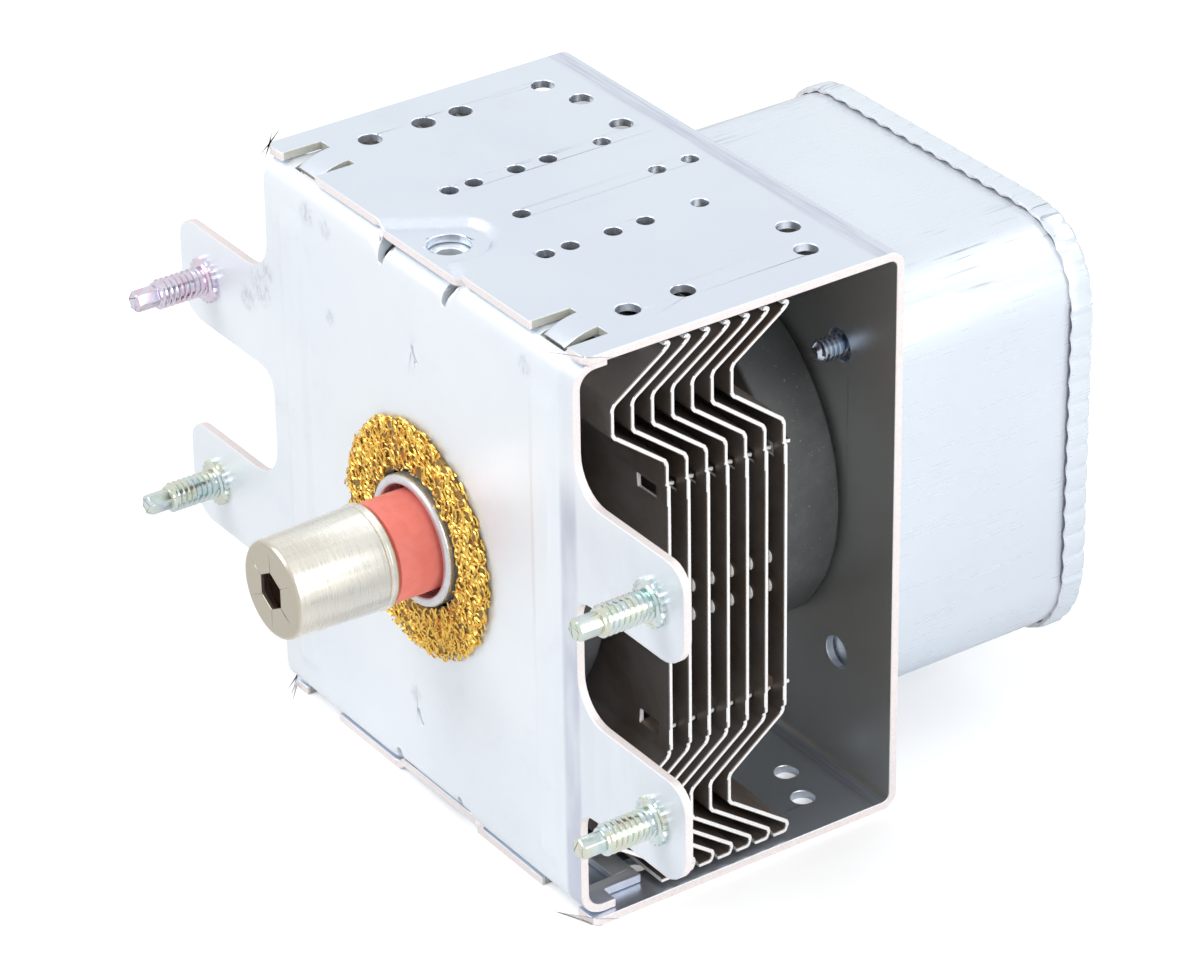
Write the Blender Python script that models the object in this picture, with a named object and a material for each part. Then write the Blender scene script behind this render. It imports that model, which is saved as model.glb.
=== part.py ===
"""Magnetron of a microwave oven, as solids in metres, +Z up. The antenna points to -Y."""

import math

import bmesh
import bpy
from mathutils import Vector

MM = 0.001

# Every size below is in millimetres.
FIT = 0.3  # clearance between pieces that touch in the real tube

# Yoke: one sheet bent to a U that opens towards the antenna.
YOKE_WIDTH = 70.3
YOKE_DEPTH = 46.9
YOKE_HEIGHT = 80.0
SHEET = 1.3
YOKE_BEND = 2.2
YOKE_FRONT = -YOKE_DEPTH / 2
YOKE_BACK = YOKE_DEPTH / 2
WALL_INNER = YOKE_BACK - SHEET

# Tube axis: it runs along Y through x = 0, a little under the yoke's middle.
AXIS_DROP = 0.3
AXIS_Z = YOKE_HEIGHT / 2 - AXIS_DROP

# Holes of the two yoke flanges, the same above and below.
BIG_HOLE = 3.1
HOLE_IN = 6.85  # from the yoke's side to the outer row of holes
HOLE_IN_SECOND = 13.05
LEFT, RIGHT = -(YOKE_WIDTH / 2 - HOLE_IN), YOKE_WIDTH / 2 - HOLE_IN - 0.3
SECOND = YOKE_WIDTH / 2 - HOLE_IN_SECOND
BIG_HOLES = (
    (LEFT, -12.3), (LEFT, -4.3), (LEFT, 1.3), (LEFT, 13.9), (-SECOND, 15.6), (8.9 - SECOND, 15.6),
    (SECOND, 15.4), (RIGHT + 0.1, 13.8), (RIGHT, -4.4), (RIGHT, -12.4),
)
SMALL_HOLE = 2.3
SMALL_ROW_X = 10.5
SMALL_ROW_Y = (-12.1, -8.5, -2.2, 2.6, 10.75)
SMALL_MID_Y = (-8.5, 11.8, 16.8)

# Locking slots beside each staked tab at the front corners of the flanges.
SLOT_SIDE = 3.65  # from the yoke's side to the outer slot
SLOT_OUT = (YOKE_WIDTH / 2 - SLOT_SIDE - 2.1, YOKE_WIDTH / 2 - SLOT_SIDE)
TAB_WIDE = 4.4
SLOT_IN = (SLOT_OUT[0] - TAB_WIDE - 1.3, SLOT_OUT[0] - TAB_WIDE)
SLOT_LONG = 5.85
SLOT_END = YOKE_FRONT + SLOT_LONG
TAB_BACK = 1.05
TAB_FRONT = YOKE_FRONT + TAB_BACK
TAB_DIP = 1.0

# Pressed seat around the middle screw hole of each flange.
SEAT_IN = 4.35
SEAT_Y = YOKE_FRONT + SEAT_IN
SEAT_FLOOR_R = 5.0
SEAT_TOP_R = 6.8
SEAT_DEPTH = 1.0
SEAT_HOLE = 5.6
SEAT_PAD_R = 6.0
SEAT_LONG = 9.45
SEAT_REAR = YOKE_FRONT + SEAT_LONG  # back end of the plate's own seat, clear of the first fin

# Front plate: a shallow pan with four ears.
PLATE_PROUD = 1.25
PLATE_FACE = YOKE_FRONT - PLATE_PROUD
SIDE_INSET = 1.05
PLATE_HALF = YOKE_WIDTH / 2 - SIDE_INSET + 0.15
PLATE_BEND = 3.0
PLATE_LONG = 7.7
PLATE_REAR = PLATE_FACE + PLATE_LONG
PLATE_CHAMFER = 3.3
EAR_LONG = 15.75  # from the pan's side to the stud
STUD_X = PLATE_HALF + EAR_LONG
EAR_END = 6.4
EAR_TIP = STUD_X + EAR_END
EAR_TOP = 7.0
EAR_BOTTOM = -7.0
STUD_RISE = 15.15
RIB_IN = 6.25
RIB_X = PLATE_HALF - RIB_IN
RIB_HALF = 2.9
RIB_HIGH = 0.7
RIB_END = 6.5
NECK_HOLE_R = 9.3

# Mounting studs pressed into the ears.
STUD_R = 2.0
STUD_HOLE_R = STUD_R + FIT
STUD_COLLAR_R = 3.15
STUD_COLLAR = 0.9
STUD_LONG = 11.0
STUD_TIP = PLATE_FACE - STUD_LONG
STUD_DOG_R = 1.45
STUD_DOG = 3.3
STUD_TEETH = 11
STUD_HEAD_R = 2.9
STUD_HEAD = 0.6

# Ring magnets: one behind the front plate, one before the yoke's back wall.
BOX_HALF = 30.0  # half of the filter box's side, whose screws pass outside the magnet
MAGNET_IN = 5.1
MAGNET_R = BOX_HALF - MAGNET_IN
MAGNET_HOLE_R = 10.6
MAGNET_THICK = 9.3
MAGNET_EDGE = 0.6
FRONT_MAGNET_Y = PLATE_FACE + SHEET + FIT
FRONT_MAGNET_END = FRONT_MAGNET_Y + MAGNET_THICK
REAR_MAGNET_Y = WALL_INNER - FIT - MAGNET_THICK

# Copper anode with its ten vanes, between the magnets and the rims of the end shells.
TUBE_MID = (FRONT_MAGNET_END + REAR_MAGNET_Y) / 2
SHELL_RIM = 0.6
ANODE_R = 18.5
ANODE_WALL = 2.4
ANODE_HALF = (REAR_MAGNET_Y - FRONT_MAGNET_END) / 2 - SHELL_RIM - 2 * FIT
VANES = 10
VANE_TIP_R = 4.6
VANE_THICK = 1.7
VANE_HALF = 4.75

# Iron pole pieces.
POLE_BORE_R = 4.9
POLE_NOSE_R = 7.4
POLE_SHEET = 1.6

# Cooling fins: seven folded sheets around the anode.
FIN_COUNT = 7
FIN_SHEET = 0.56
FIN_PITCH = 2.89
FIN_AHEAD = 10.575
FIN_FIRST_Y = TUBE_MID - FIN_AHEAD
FIN_HALF = YOKE_WIDTH / 2 - SIDE_INSET + 0.1
FIN_TOP = YOKE_HEIGHT - SHEET - FIT
FIN_FOOT = SHEET + FIT
FIN_LIP = 1.9
FIN_LIP_BACK = 0.75
KNEE_UPPER = 7.8
KNEE_LOWER = 8.3
KNEE_TALL = 3.75
KNEE_UPPER_DROP = 6.6
KNEE_LOWER_RISE = 8.1
SLANT_UPPER = 5.97
SLANT_LOWER = 6.27
FACE_TOP = FIN_TOP - FIN_SHEET / 2 - KNEE_UPPER_DROP - KNEE_TALL - SLANT_UPPER
FACE_FOOT = FIN_FOOT + FIN_SHEET / 2 + KNEE_LOWER_RISE + KNEE_TALL + SLANT_LOWER
FOOT_BULGE = 0.9
FOOT_LIP = 1.7
WINDOW_IN = 1.9
WINDOW_LONG = 3.9
WINDOW_X = (FIN_HALF - WINDOW_IN - WINDOW_LONG, FIN_HALF - WINDOW_IN)
WINDOW_DROP = 4.9
WINDOW_RISE = 3.1
WINDOW_Z = (FACE_TOP - WINDOW_DROP, FACE_FOOT + WINDOW_RISE)
WINDOW_HALF = 1.05

# Antenna end.
NECK_R = 8.7
NECK_BORE_R = 7.4
NECK_PROUD = 1.7
NECK_RIM = PLATE_FACE - NECK_PROUD
CERAMIC_R = 6.65
CERAMIC_BORE_R = 4.4
CERAMIC_LIP = 0.5
CERAMIC_IN = 3.2
CAP_OPEN_R = 7.0
CAP_TIP_R = 6.45
CAP_GAP = 5.8
CAP_OPEN = NECK_RIM - CAP_GAP
CAP_LAP = 0.8
CERAMIC_FRONT = CAP_OPEN - CAP_LAP
CAP_LONG = 14.4
CAP_TIP = CAP_OPEN - CAP_LONG
CAP_WALL = 0.55
CAP_HEX = 4.5
LEAD_R = 0.95
LEAD_OFFSET = 6.1
GASKET_R = 16.0
GASKET_THICK = 1.0

# Filter box behind the yoke.
BOX_Z = YOKE_HEIGHT / 2
BOX_CORNER = 10.0
BOX_FRONT = YOKE_BACK + FIT
BOX_LONG = 32.15
BOX_REAR = BOX_FRONT + BOX_LONG
BOX_SHEET = 0.8
BOX_FLOOR_BEND = 3.0
LID_SHEET = 1.1
LID_REAR = BOX_REAR + FIT + LID_SHEET
LID_HEM = 3.7
LID_FRONT = LID_REAR - LID_HEM
LID_OVER = 1.0
SCREW_IN = 6.2
SCREW_X = BOX_HALF - SCREW_IN
SCREW_RISE = SCREW_X - 1.5
SCREW_R = 1.9
STEM_HOLE_R = 14.0

# Cathode stem: a ceramic plug in the rear end shell, with two flat lead posts.
SHELL_NECK_R = 9.8
SHELL_WALL = 0.8
SHELL_END = BOX_FRONT + BOX_SHEET + 1.2
STEM_START = SHELL_END - 0.3
STEM_FLOOR = STEM_START + 3.0
STEM_END = STEM_START + 8.0
STEM_R = SHELL_NECK_R - SHELL_WALL - FIT
POST_RISE = 3.6
POST_HALF = 2.2
POST_LONG = 6.5
POST_THICK = 1.0

# Two chokes: a copper winding on a ferrite rod, from the stem to the capacitor.
CHOKE_BACK = 21.75
CHOKE_Y = BOX_FRONT + CHOKE_BACK
CHOKE_RISE = 9.0
CHOKE_IN = 5.6
CHOKE_LONG = 20.8
CHOKE_X = (CHOKE_IN - BOX_HALF, CHOKE_IN + CHOKE_LONG - BOX_HALF)
CHOKE_ROD_R = 2.2
COIL_R = 3.6
COIL_WIRE_R = 0.7
COIL_TURNS = 6

# Feed-through capacitor on the far side of the filter box.
CAP_BACK = 15.25
CAP_Y = BOX_FRONT + CAP_BACK
CAP_IN = 5.0
CAP_OUT = 9.0
CAP_HALF = 8.0
CAP_ROUND = 4.8
FLANGE_HALF = 10.4
FLANGE_ROUND = 7.6
BLADE_STEP = 9.0
BLADE_OUT = 17.5


def vec(x, y, z):
    return (x * MM, y * MM, z * MM)


def arc(cx, cy, r, start, end, steps):
    """Points of a circular arc, angles in degrees."""
    out = []
    for k in range(steps + 1):
        a = math.radians(start + (end - start) * k / steps)
        out.append((cx + r * math.cos(a), cy + r * math.sin(a)))
    return out


def fillet(points, radii, steps=3, closed=False):
    """A path with each corner rounded to its own radius, in the same or each its own number of steps."""
    out = []
    count = len(points)
    each = steps if isinstance(steps, list) else [steps] * count
    for i, (p, r) in enumerate(zip(points, radii)):
        if r <= 0 or (not closed and i in (0, count - 1)):
            out.append(p)
            continue
        a, b = points[i - 1], points[(i + 1) % count]
        ua = unit(a[0] - p[0], a[1] - p[1])
        ub = unit(b[0] - p[0], b[1] - p[1])
        half = math.acos(max(-1.0, min(1.0, ua[0] * ub[0] + ua[1] * ub[1]))) / 2
        back = r / math.tan(half)
        mid = unit(ua[0] + ub[0], ua[1] + ub[1])
        c = (p[0] + mid[0] * r / math.sin(half), p[1] + mid[1] * r / math.sin(half))
        s = (p[0] + ua[0] * back, p[1] + ua[1] * back)
        e = (p[0] + ub[0] * back, p[1] + ub[1] * back)
        a0 = math.atan2(s[1] - c[1], s[0] - c[0])
        a1 = math.atan2(e[1] - c[1], e[0] - c[0])
        turn = (a1 - a0 + math.pi) % (2 * math.pi) - math.pi
        for k in range(each[i] + 1):
            t = a0 + turn * k / each[i]
            out.append((c[0] + r * math.cos(t), c[1] + r * math.sin(t)))
    return out


def unit(x, y):
    size = math.hypot(x, y)
    return (x / size, y / size)


def thicken(path, thickness):
    """The closed outline of a strip of sheet that follows an open path."""
    left, right = [], []
    for i, p in enumerate(path):
        a = path[max(i - 1, 0)]
        b = path[min(i + 1, len(path) - 1)]
        d0 = unit(p[0] - a[0], p[1] - a[1]) if i else unit(b[0] - p[0], b[1] - p[1])
        d1 = unit(b[0] - p[0], b[1] - p[1]) if i < len(path) - 1 else d0
        m = unit(d0[0] + d1[0], d0[1] + d1[1])
        reach = thickness / 2 / max(0.3, m[0] * d0[0] + m[1] * d0[1])
        left.append((p[0] - m[1] * reach, p[1] + m[0] * reach))
        right.append((p[0] + m[1] * reach, p[1] - m[0] * reach))
    return left + right[::-1]


def facing_out(bm):
    bmesh.ops.remove_doubles(bm, verts=bm.verts, dist=1e-7)
    bmesh.ops.recalc_face_normals(bm, faces=bm.faces)
    if bm.calc_volume(signed=True) < 0:
        bmesh.ops.reverse_faces(bm, faces=bm.faces)


def prism_into(bm, outline, axis, lo, hi, outline_hi=None):
    """Adds an outline drawn across one axis, drawn out from lo to hi along it."""
    place = {
        "x": lambda u, v, w: vec(w, u, v),
        "y": lambda u, v, w: vec(u, w, v),
        "z": lambda u, v, w: vec(u, v, w),
    }[axis]
    low = [bm.verts.new(place(u, v, lo)) for u, v in outline]
    high = [bm.verts.new(place(u, v, hi)) for u, v in (outline_hi or outline)]
    bm.faces.new(low)
    bm.faces.new(high[::-1])
    for i in range(len(low)):
        j = (i + 1) % len(low)
        bm.faces.new((low[j], low[i], high[i], high[j]))


def lathe_into(bm, profile, steps, x=0.0, z=AXIS_Z, along="y", turn=0.0):
    """Adds a turned shape. The profile holds radius and place along the axis."""
    rings = []
    for r, w in profile:
        if r < 1e-6:
            rings.append([bm.verts.new(turned(0, 0, w, x, z, along))])
            continue
        ring = []
        for k in range(steps):
            a = 2 * math.pi * (k + turn) / steps
            ring.append(bm.verts.new(turned(r * math.cos(a), r * math.sin(a), w, x, z, along)))
        rings.append(ring)
    ends_on_axis = profile[0][0] < 1e-6 and profile[-1][0] < 1e-6
    pairs = list(zip(rings, rings[1:]))
    if not ends_on_axis:
        pairs.append((rings[-1], rings[0]))
    for a, b in pairs:
        for k in range(steps):
            j = (k + 1) % steps
            corners = [a[k % len(a)], a[j % len(a)], b[j % len(b)], b[k % len(b)]]
            seen = []
            for v in corners:
                if v not in seen:
                    seen.append(v)
            if len(seen) > 2:
                bm.faces.new(seen)


def turned(u, v, w, x, z, along):
    """A point of a turned shape, whose axis runs along Y, Z or X."""
    if along == "y":
        return vec(x + u, w, z + v)
    if along == "z":
        return vec(x + u, z + v, w)
    return vec(w, x + u, z + v)


def make(name, bm, finish=None, smooth=False):
    facing_out(bm)
    mesh = bpy.data.meshes.new(name)
    bm.to_mesh(mesh)
    bm.free()
    obj = bpy.data.objects.new(name, mesh)
    bpy.context.scene.collection.objects.link(obj)
    if smooth:
        mesh.shade_smooth()
    if finish:
        give_finish(obj, finish)
    return obj


def give_finish(obj, finish):
    colour, rough, metal = finish
    material = bpy.data.materials.new(obj.name + "_finish")
    material.use_nodes = True
    shader = material.node_tree.nodes["Principled BSDF"]
    shader.inputs["Base Color"].default_value = (*colour, 1.0)
    shader.inputs["Roughness"].default_value = rough
    shader.inputs["Metallic"].default_value = metal
    obj.data.materials.append(material)


def prism(name, outline, axis, lo, hi, finish=None):
    bm = bmesh.new()
    prism_into(bm, outline, axis, lo, hi)
    return make(name, bm, finish)


def lathe(name, profile, steps, finish=None, **where):
    bm = bmesh.new()
    lathe_into(bm, profile, steps, **where)
    return make(name, bm, finish, smooth=True)


def sweep_into(bm, path, radius, sides, start_angle=0.0):
    """Adds a round wire along a path in space, with flat ends."""
    points = [Vector(p) for p in path]
    ways = []
    for i, p in enumerate(points):
        a = points[max(i - 1, 0)]
        b = points[min(i + 1, len(points) - 1)]
        ways.append(((p - a).normalized() + (b - p).normalized()).normalized())
    side = ways[0].orthogonal().normalized()
    rings = []
    for p, way in zip(points, ways):
        side = (side - way * side.dot(way)).normalized()
        across = way.cross(side)
        ring = []
        for k in range(sides):
            a = start_angle + 2 * math.pi * k / sides
            q = p + (side * math.cos(a) + across * math.sin(a)) * radius
            ring.append(bm.verts.new(vec(*q)))
        rings.append(ring)
    for a, b in zip(rings, rings[1:]):
        for k in range(sides):
            j = (k + 1) % sides
            bm.faces.new((a[k], a[j], b[j], b[k]))
    bm.faces.new(rings[0])
    bm.faces.new(rings[-1])


def drill_into(bm, radius, lo, hi, steps, **where):
    """Adds a plain cylinder, to cut a round hole with."""
    lathe_into(bm, [(0, lo), (radius, lo), (radius, hi), (0, hi)], steps, **where)


def boolean(obj, tool, operation="DIFFERENCE"):
    """Cuts a hidden tool from a piece, or joins it on."""
    tool.hide_render = True
    tool.display_type = "WIRE"
    step = obj.modifiers.new(tool.name, "BOOLEAN")
    step.operation = operation
    step.solver = "EXACT"
    step.object = tool
    return obj


def box(x0, x1, y0, y1):
    return [(x0, y0), (x1, y0), (x1, y1), (x0, y1)]


ZINC = ((0.80, 0.83, 0.87), 0.32, 0.9)
FIN_METAL = ((0.62, 0.60, 0.58), 0.3, 0.95)
DARK_FERRITE = ((0.10, 0.105, 0.11), 0.6, 0.1)
COPPER = ((0.72, 0.36, 0.22), 0.3, 1.0)
NICKEL = ((0.70, 0.66, 0.60), 0.28, 1.0)
PINK_CERAMIC = ((0.90, 0.30, 0.27), 0.5, 0.0)
BRASS = ((0.85, 0.60, 0.18), 0.35, 1.0)
IRON = ((0.45, 0.45, 0.46), 0.45, 1.0)
TIN = ((0.72, 0.76, 0.80), 0.3, 0.9)
BLACK_PLASTIC = ((0.05, 0.05, 0.055), 0.5, 0.0)


def yoke_profile():
    """The bent U of the yoke, drawn across Y and Z as one closed outline."""
    t, h, f, b = SHEET, YOKE_HEIGHT, YOKE_FRONT, YOKE_BACK
    outer = [(f, h)] + arc(b - YOKE_BEND, h - YOKE_BEND, YOKE_BEND, 90, 0, 5)
    outer += arc(b - YOKE_BEND, YOKE_BEND, YOKE_BEND, 0, -90, 5) + [(f, 0)]
    r = YOKE_BEND - t
    inner = [(f, t)] + arc(b - YOKE_BEND, YOKE_BEND, r, -90, 0, 4)
    inner += arc(b - YOKE_BEND, h - YOKE_BEND, r, 0, 90, 4) + [(f, h - t)]
    return outer + inner


def seat_outline(radius, front):
    """A D with its round end towards the back and its open end at the front."""
    return arc(0, SEAT_Y, radius, 0, 180, 10) + [(-radius, front), (radius, front)]


def flange_tools(side):
    """(cutters, pads) for one flange. side is 1 for the upper flange and -1 for the lower."""
    face = YOKE_HEIGHT if side > 0 else 0.0
    at = lambda depth: face - side * depth
    cut = bmesh.new()
    for x, y in BIG_HOLES:
        drill_into(cut, BIG_HOLE / 2, at(-2), at(4), 12, x=x, z=y, along="z")
    small = [(x, y) for x in (-SMALL_ROW_X, SMALL_ROW_X) for y in SMALL_ROW_Y]
    small += [(0, y) for y in SMALL_MID_Y]
    for x, y in small:
        drill_into(cut, SMALL_HOLE / 2, at(-2), at(4), 8, x=x, z=y, along="z")
    for s in (-1, 1):
        low, high = sorted((s * SLOT_IN[0], s * SLOT_OUT[1]))
        prism_into(cut, box(low, high, YOKE_FRONT - 2, SLOT_END), "z", at(-2), at(4))
    pocket = bmesh.new()
    prism_into(pocket, seat_outline(SEAT_FLOOR_R, YOKE_FRONT - 2), "z", at(SEAT_DEPTH), at(-0.25),
               seat_outline(SEAT_TOP_R + 0.45, YOKE_FRONT - 2))
    pad = bmesh.new()
    prism_into(pad, seat_outline(SEAT_PAD_R, YOKE_FRONT + 0.06), "z", at(SHEET - 0.15),
               at(SHEET + SEAT_DEPTH))
    hole = bmesh.new()
    drill_into(hole, SEAT_HOLE / 2, at(-1), at(6), 20, x=0, z=SEAT_Y, along="z")
    tabs = bmesh.new()
    top = [(SLOT_END + 0.8, at(0.02)), (SLOT_END - 0.6, at(0.02)), (SLOT_END - 2.2, at(0.35)),
           (TAB_FRONT, at(TAB_DIP))]
    low = [(TAB_FRONT, at(TAB_DIP + SHEET - 0.02)), (SLOT_END - 2.2, at(0.33 + SHEET)),
           (SLOT_END - 0.6, at(SHEET - 0.02)), (SLOT_END + 0.8, at(SHEET - 0.02))]
    for s in (-1, 1):
        a, b = sorted((s * SLOT_IN[1], s * SLOT_OUT[0]))
        prism_into(tabs, top + low, "x", a, b)
    word = "upper" if side > 0 else "lower"
    return (
        make("cut_flange_" + word, cut), make("cut_seat_" + word, pocket), make("join_pad_" + word, pad),
        make("cut_seat_hole_" + word, hole), make("join_tabs_" + word, tabs),
    )


def yoke_channel():
    """The U of the yoke, with its holes, staked tabs and pressed screw seats."""
    body = prism("yoke_channel", yoke_profile(), "x", -YOKE_WIDTH / 2, YOKE_WIDTH / 2, ZINC)
    for side in (1, -1):
        holes, pocket, pad, screw, tabs = flange_tools(side)
        boolean(body, holes)
        boolean(body, tabs, "UNION")
        boolean(body, pad, "UNION")
        boolean(body, pocket)
        boolean(body, screw)
    back = bmesh.new()
    drill_into(back, STEM_HOLE_R, WALL_INNER - 2, YOKE_BACK + 2, 32)
    for x in (-SCREW_X, SCREW_X):
        for z in (BOX_Z - SCREW_RISE, BOX_Z + SCREW_RISE):
            drill_into(back, SCREW_R + FIT, WALL_INNER - 2, YOKE_BACK + 2, 12, x=x, z=z)
    boolean(body, make("cut_yoke_back", back))
    return body


def plate_outline():
    """The flat face of the front plate with its four ears, across X and Z."""
    low, high = SHEET + FIT + PLATE_BEND, YOKE_HEIGHT - SHEET - FIT - PLATE_BEND
    right = [(PLATE_HALF, low)]
    radii = [0]
    for z in (AXIS_Z - STUD_RISE, AXIS_Z + STUD_RISE):
        right += [(PLATE_HALF, z + EAR_BOTTOM), (EAR_TIP, z + EAR_BOTTOM), (EAR_TIP, z + EAR_TOP),
                  (PLATE_HALF, z + EAR_TOP)]
        radii += [3.0, 4.6, 3.4, 5.2]
    right.append((PLATE_HALF, high))
    radii.append(0)
    edge = fillet(right, radii, 4)
    return edge + [(-x, z) for x, z in edge[::-1]]


def front_plate():
    """The pan that closes the yoke and carries the studs, as sheet given a thickness."""
    bm = bmesh.new()
    outline = plate_outline()
    verts = [bm.verts.new(vec(x, PLATE_FACE, z)) for x, z in outline]
    face = bm.faces.new(verts)
    face.normal_update()
    if face.normal.y > 0:
        face.normal_flip()
    low, high = SHEET + FIT + PLATE_BEND, YOKE_HEIGHT - SHEET - FIT - PLATE_BEND
    for sign, z0 in ((1, high), (-1, low)):
        row = [v for v in verts if abs(v.co.z - z0 * MM) < 1e-7]
        left, right = sorted(row, key=lambda v: v.co.x)
        steps = []
        for k in range(1, 6):
            a = math.radians(90 * k / 5)
            steps.append((PLATE_HALF, PLATE_FACE + PLATE_BEND * (1 - math.cos(a)),
                          z0 + sign * PLATE_BEND * math.sin(a)))
        flat = z0 + sign * PLATE_BEND
        steps.append((PLATE_HALF, PLATE_REAR - PLATE_CHAMFER, flat))
        steps.append((PLATE_HALF - PLATE_CHAMFER, PLATE_REAR, flat))
        for half, y, z in steps:
            nl, nr = bm.verts.new(vec(-half, y, z)), bm.verts.new(vec(half, y, z))
            quad = bm.faces.new((left, right, nr, nl) if sign > 0 else (right, left, nl, nr))
            quad.normal_update()
            left, right = nl, nr
    mesh = bpy.data.meshes.new("front_plate")
    bm.to_mesh(mesh)
    bm.free()
    obj = bpy.data.objects.new("front_plate", mesh)
    bpy.context.scene.collection.objects.link(obj)
    give_finish(obj, ZINC)
    sheet = obj.modifiers.new("sheet", "SOLIDIFY")
    sheet.thickness = SHEET * MM
    sheet.offset = -1
    sheet.use_even_offset = True
    sheet.use_rim = True
    boolean(obj, plate_holes())
    boolean(obj, plate_seats(), "UNION")
    boolean(obj, plate_seat_holes())
    boolean(obj, plate_ribs(), "UNION")
    return obj


def plate_holes():
    """Cutters for the neck, the studs, the relief slots in the bends and the staked tabs."""
    cut = bmesh.new()
    drill_into(cut, NECK_HOLE_R, PLATE_FACE - 3, PLATE_FACE + 4, 32)
    for x, z in stud_places():
        drill_into(cut, STUD_HOLE_R, PLATE_FACE - 3, PLATE_FACE + 4, 14, x=x, z=z)
    for side in (1, -1):
        face = YOKE_HEIGHT if side > 0 else 0.0
        at = lambda depth: face - side * depth
        window = seat_outline(SEAT_PAD_R + 0.6, PLATE_FACE + 0.75)
        prism_into(cut, window, "z", at(SHEET + SEAT_DEPTH + FIT), at(-2))
        for s in (-1, 1):
            a, b = sorted((s * (SLOT_IN[1] - 0.5), s * (SLOT_OUT[0] + 0.5)))
            prism_into(cut, box(a, b, PLATE_FACE + 1.5, SLOT_END + 0.6), "z", at(TAB_DIP + SHEET + FIT), at(-2))
    return make("cut_plate", cut)


def plate_seats():
    """The lowered seats of the two flanges, under the seats of the yoke."""
    pads = bmesh.new()
    for side in (1, -1):
        face = YOKE_HEIGHT if side > 0 else 0.0
        top = face - side * (SHEET + SEAT_DEPTH + FIT)
        half = SEAT_PAD_R + 1.1
        outline = [(half, PLATE_FACE + 0.7), (half, SEAT_REAR), (-half, SEAT_REAR), (-half, PLATE_FACE + 0.7)]
        prism_into(pads, fillet(outline, [0, 4.5, 4.5, 0], 4), "z", top, top - side * SHEET)
    return make("join_plate_seats", pads)


def plate_seat_holes():
    """Tapped holes of the seats, and the curved relief slots beside them."""
    cut = bmesh.new()
    for side in (1, -1):
        face = YOKE_HEIGHT if side > 0 else 0.0
        at = lambda depth: face - side * depth
        drill_into(cut, 1.7, at(1), at(8), 14, x=0, z=SEAT_Y, along="z")
        for s in (-1, 1):
            path = [(s * 5.6, at(0.2)), (s * 6.2, at(2.2)), (s * 7.1, at(3.7))]
            outline = capsule(path, 1.15)
            prism_into(cut, outline, "y", PLATE_FACE - 2, PLATE_FACE + 4.4)
    return make("cut_plate_seats", cut)


def capsule(path, radius):
    """The outline of a slot of even width along a short path, with its last end round."""
    outline = thicken(path, radius * 2)
    n = len(path)
    left, right = outline[:n], outline[n:]
    end = path[-1]
    a0 = math.degrees(math.atan2(left[-1][1] - end[1], left[-1][0] - end[0]))
    tip = arc(end[0], end[1], radius, a0, a0 - 180, 5)
    return left[:-1] + tip + right[1:]


def plate_ribs():
    """Two upright ribs pressed out of the front face, one along each side."""
    ribs = bmesh.new()
    for s in (-1, 1):
        x = s * RIB_X
        low, high = RIB_END, YOKE_HEIGHT - RIB_END
        base = box(x - RIB_HALF, x + RIB_HALF, low, high)
        crest = box(x - RIB_HALF + 1.3, x + RIB_HALF - 1.3, low + 3.0, high - 3.0)
        prism_into(ribs, base, "y", PLATE_FACE + 0.3, PLATE_FACE - RIB_HIGH, crest)
    return make("join_plate_ribs", ribs)


def studs():
    """A toothed collar against the ear, a plain shank where the real one is threaded, and a dog point."""
    for i, (x, z) in enumerate(stud_places()):
        bm = bmesh.new()
        back = PLATE_FACE + SHEET + FIT
        profile = [(0, back + STUD_HEAD), (STUD_HEAD_R, back + STUD_HEAD), (STUD_HEAD_R, back), (STUD_R, back)]
        profile += [(STUD_R, STUD_TIP + STUD_DOG + 0.5), (STUD_DOG_R, STUD_TIP + STUD_DOG),
                    (STUD_DOG_R, STUD_TIP + 0.6), (STUD_DOG_R - 0.5, STUD_TIP), (0, STUD_TIP)]
        lathe_into(bm, profile, 12, x=x, z=z)
        obj = make("stud_%d" % (i + 1), bm, TIN, smooth=True)
        collar = bmesh.new()
        teeth = []
        for k in range(STUD_TEETH * 2):
            a = 2 * math.pi * k / (STUD_TEETH * 2)
            r = STUD_COLLAR_R if k % 2 else STUD_COLLAR_R - 0.28
            teeth.append((x + r * math.cos(a), z + r * math.sin(a)))
        small = [(x + (u - x) * 0.86, z + (v - z) * 0.86) for u, v in teeth]
        prism_into(collar, teeth, "y", PLATE_FACE - FIT, PLATE_FACE - STUD_COLLAR, small)
        boolean(obj, make("join_collar_%d" % (i + 1), collar), "UNION")


def stud_places():
    return [(x, z) for x in (-STUD_X, STUD_X) for z in (AXIS_Z - STUD_RISE, AXIS_Z + STUD_RISE)]


def fin_path(y):
    """The fold of one fin, across Y and Z, from its upper lip to its foot."""
    top, foot = FIN_TOP - FIN_SHEET / 2, FIN_FOOT + FIN_SHEET / 2
    upper, lower = top - KNEE_UPPER_DROP, foot + KNEE_LOWER_RISE
    points = [(y - FIN_LIP_BACK, top), (y + FIN_LIP, top), (y - KNEE_UPPER, upper),
              (y - KNEE_UPPER, upper - KNEE_TALL), (y, FACE_TOP), (y, FACE_FOOT),
              (y - KNEE_LOWER, lower + KNEE_TALL), (y - KNEE_LOWER, lower), (y + FOOT_BULGE, foot + 1.5),
              (y + FOOT_BULGE / 3, foot), (y - FOOT_LIP, foot)]
    radii = [0, 0.9, 1.0, 1.0, 1.2, 1.0, 1.0, 1.0, 0.6, 0.5, 0]
    return fillet(points, radii, [0, 3, 2, 1, 1, 1, 1, 2, 2, 2, 0])


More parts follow.
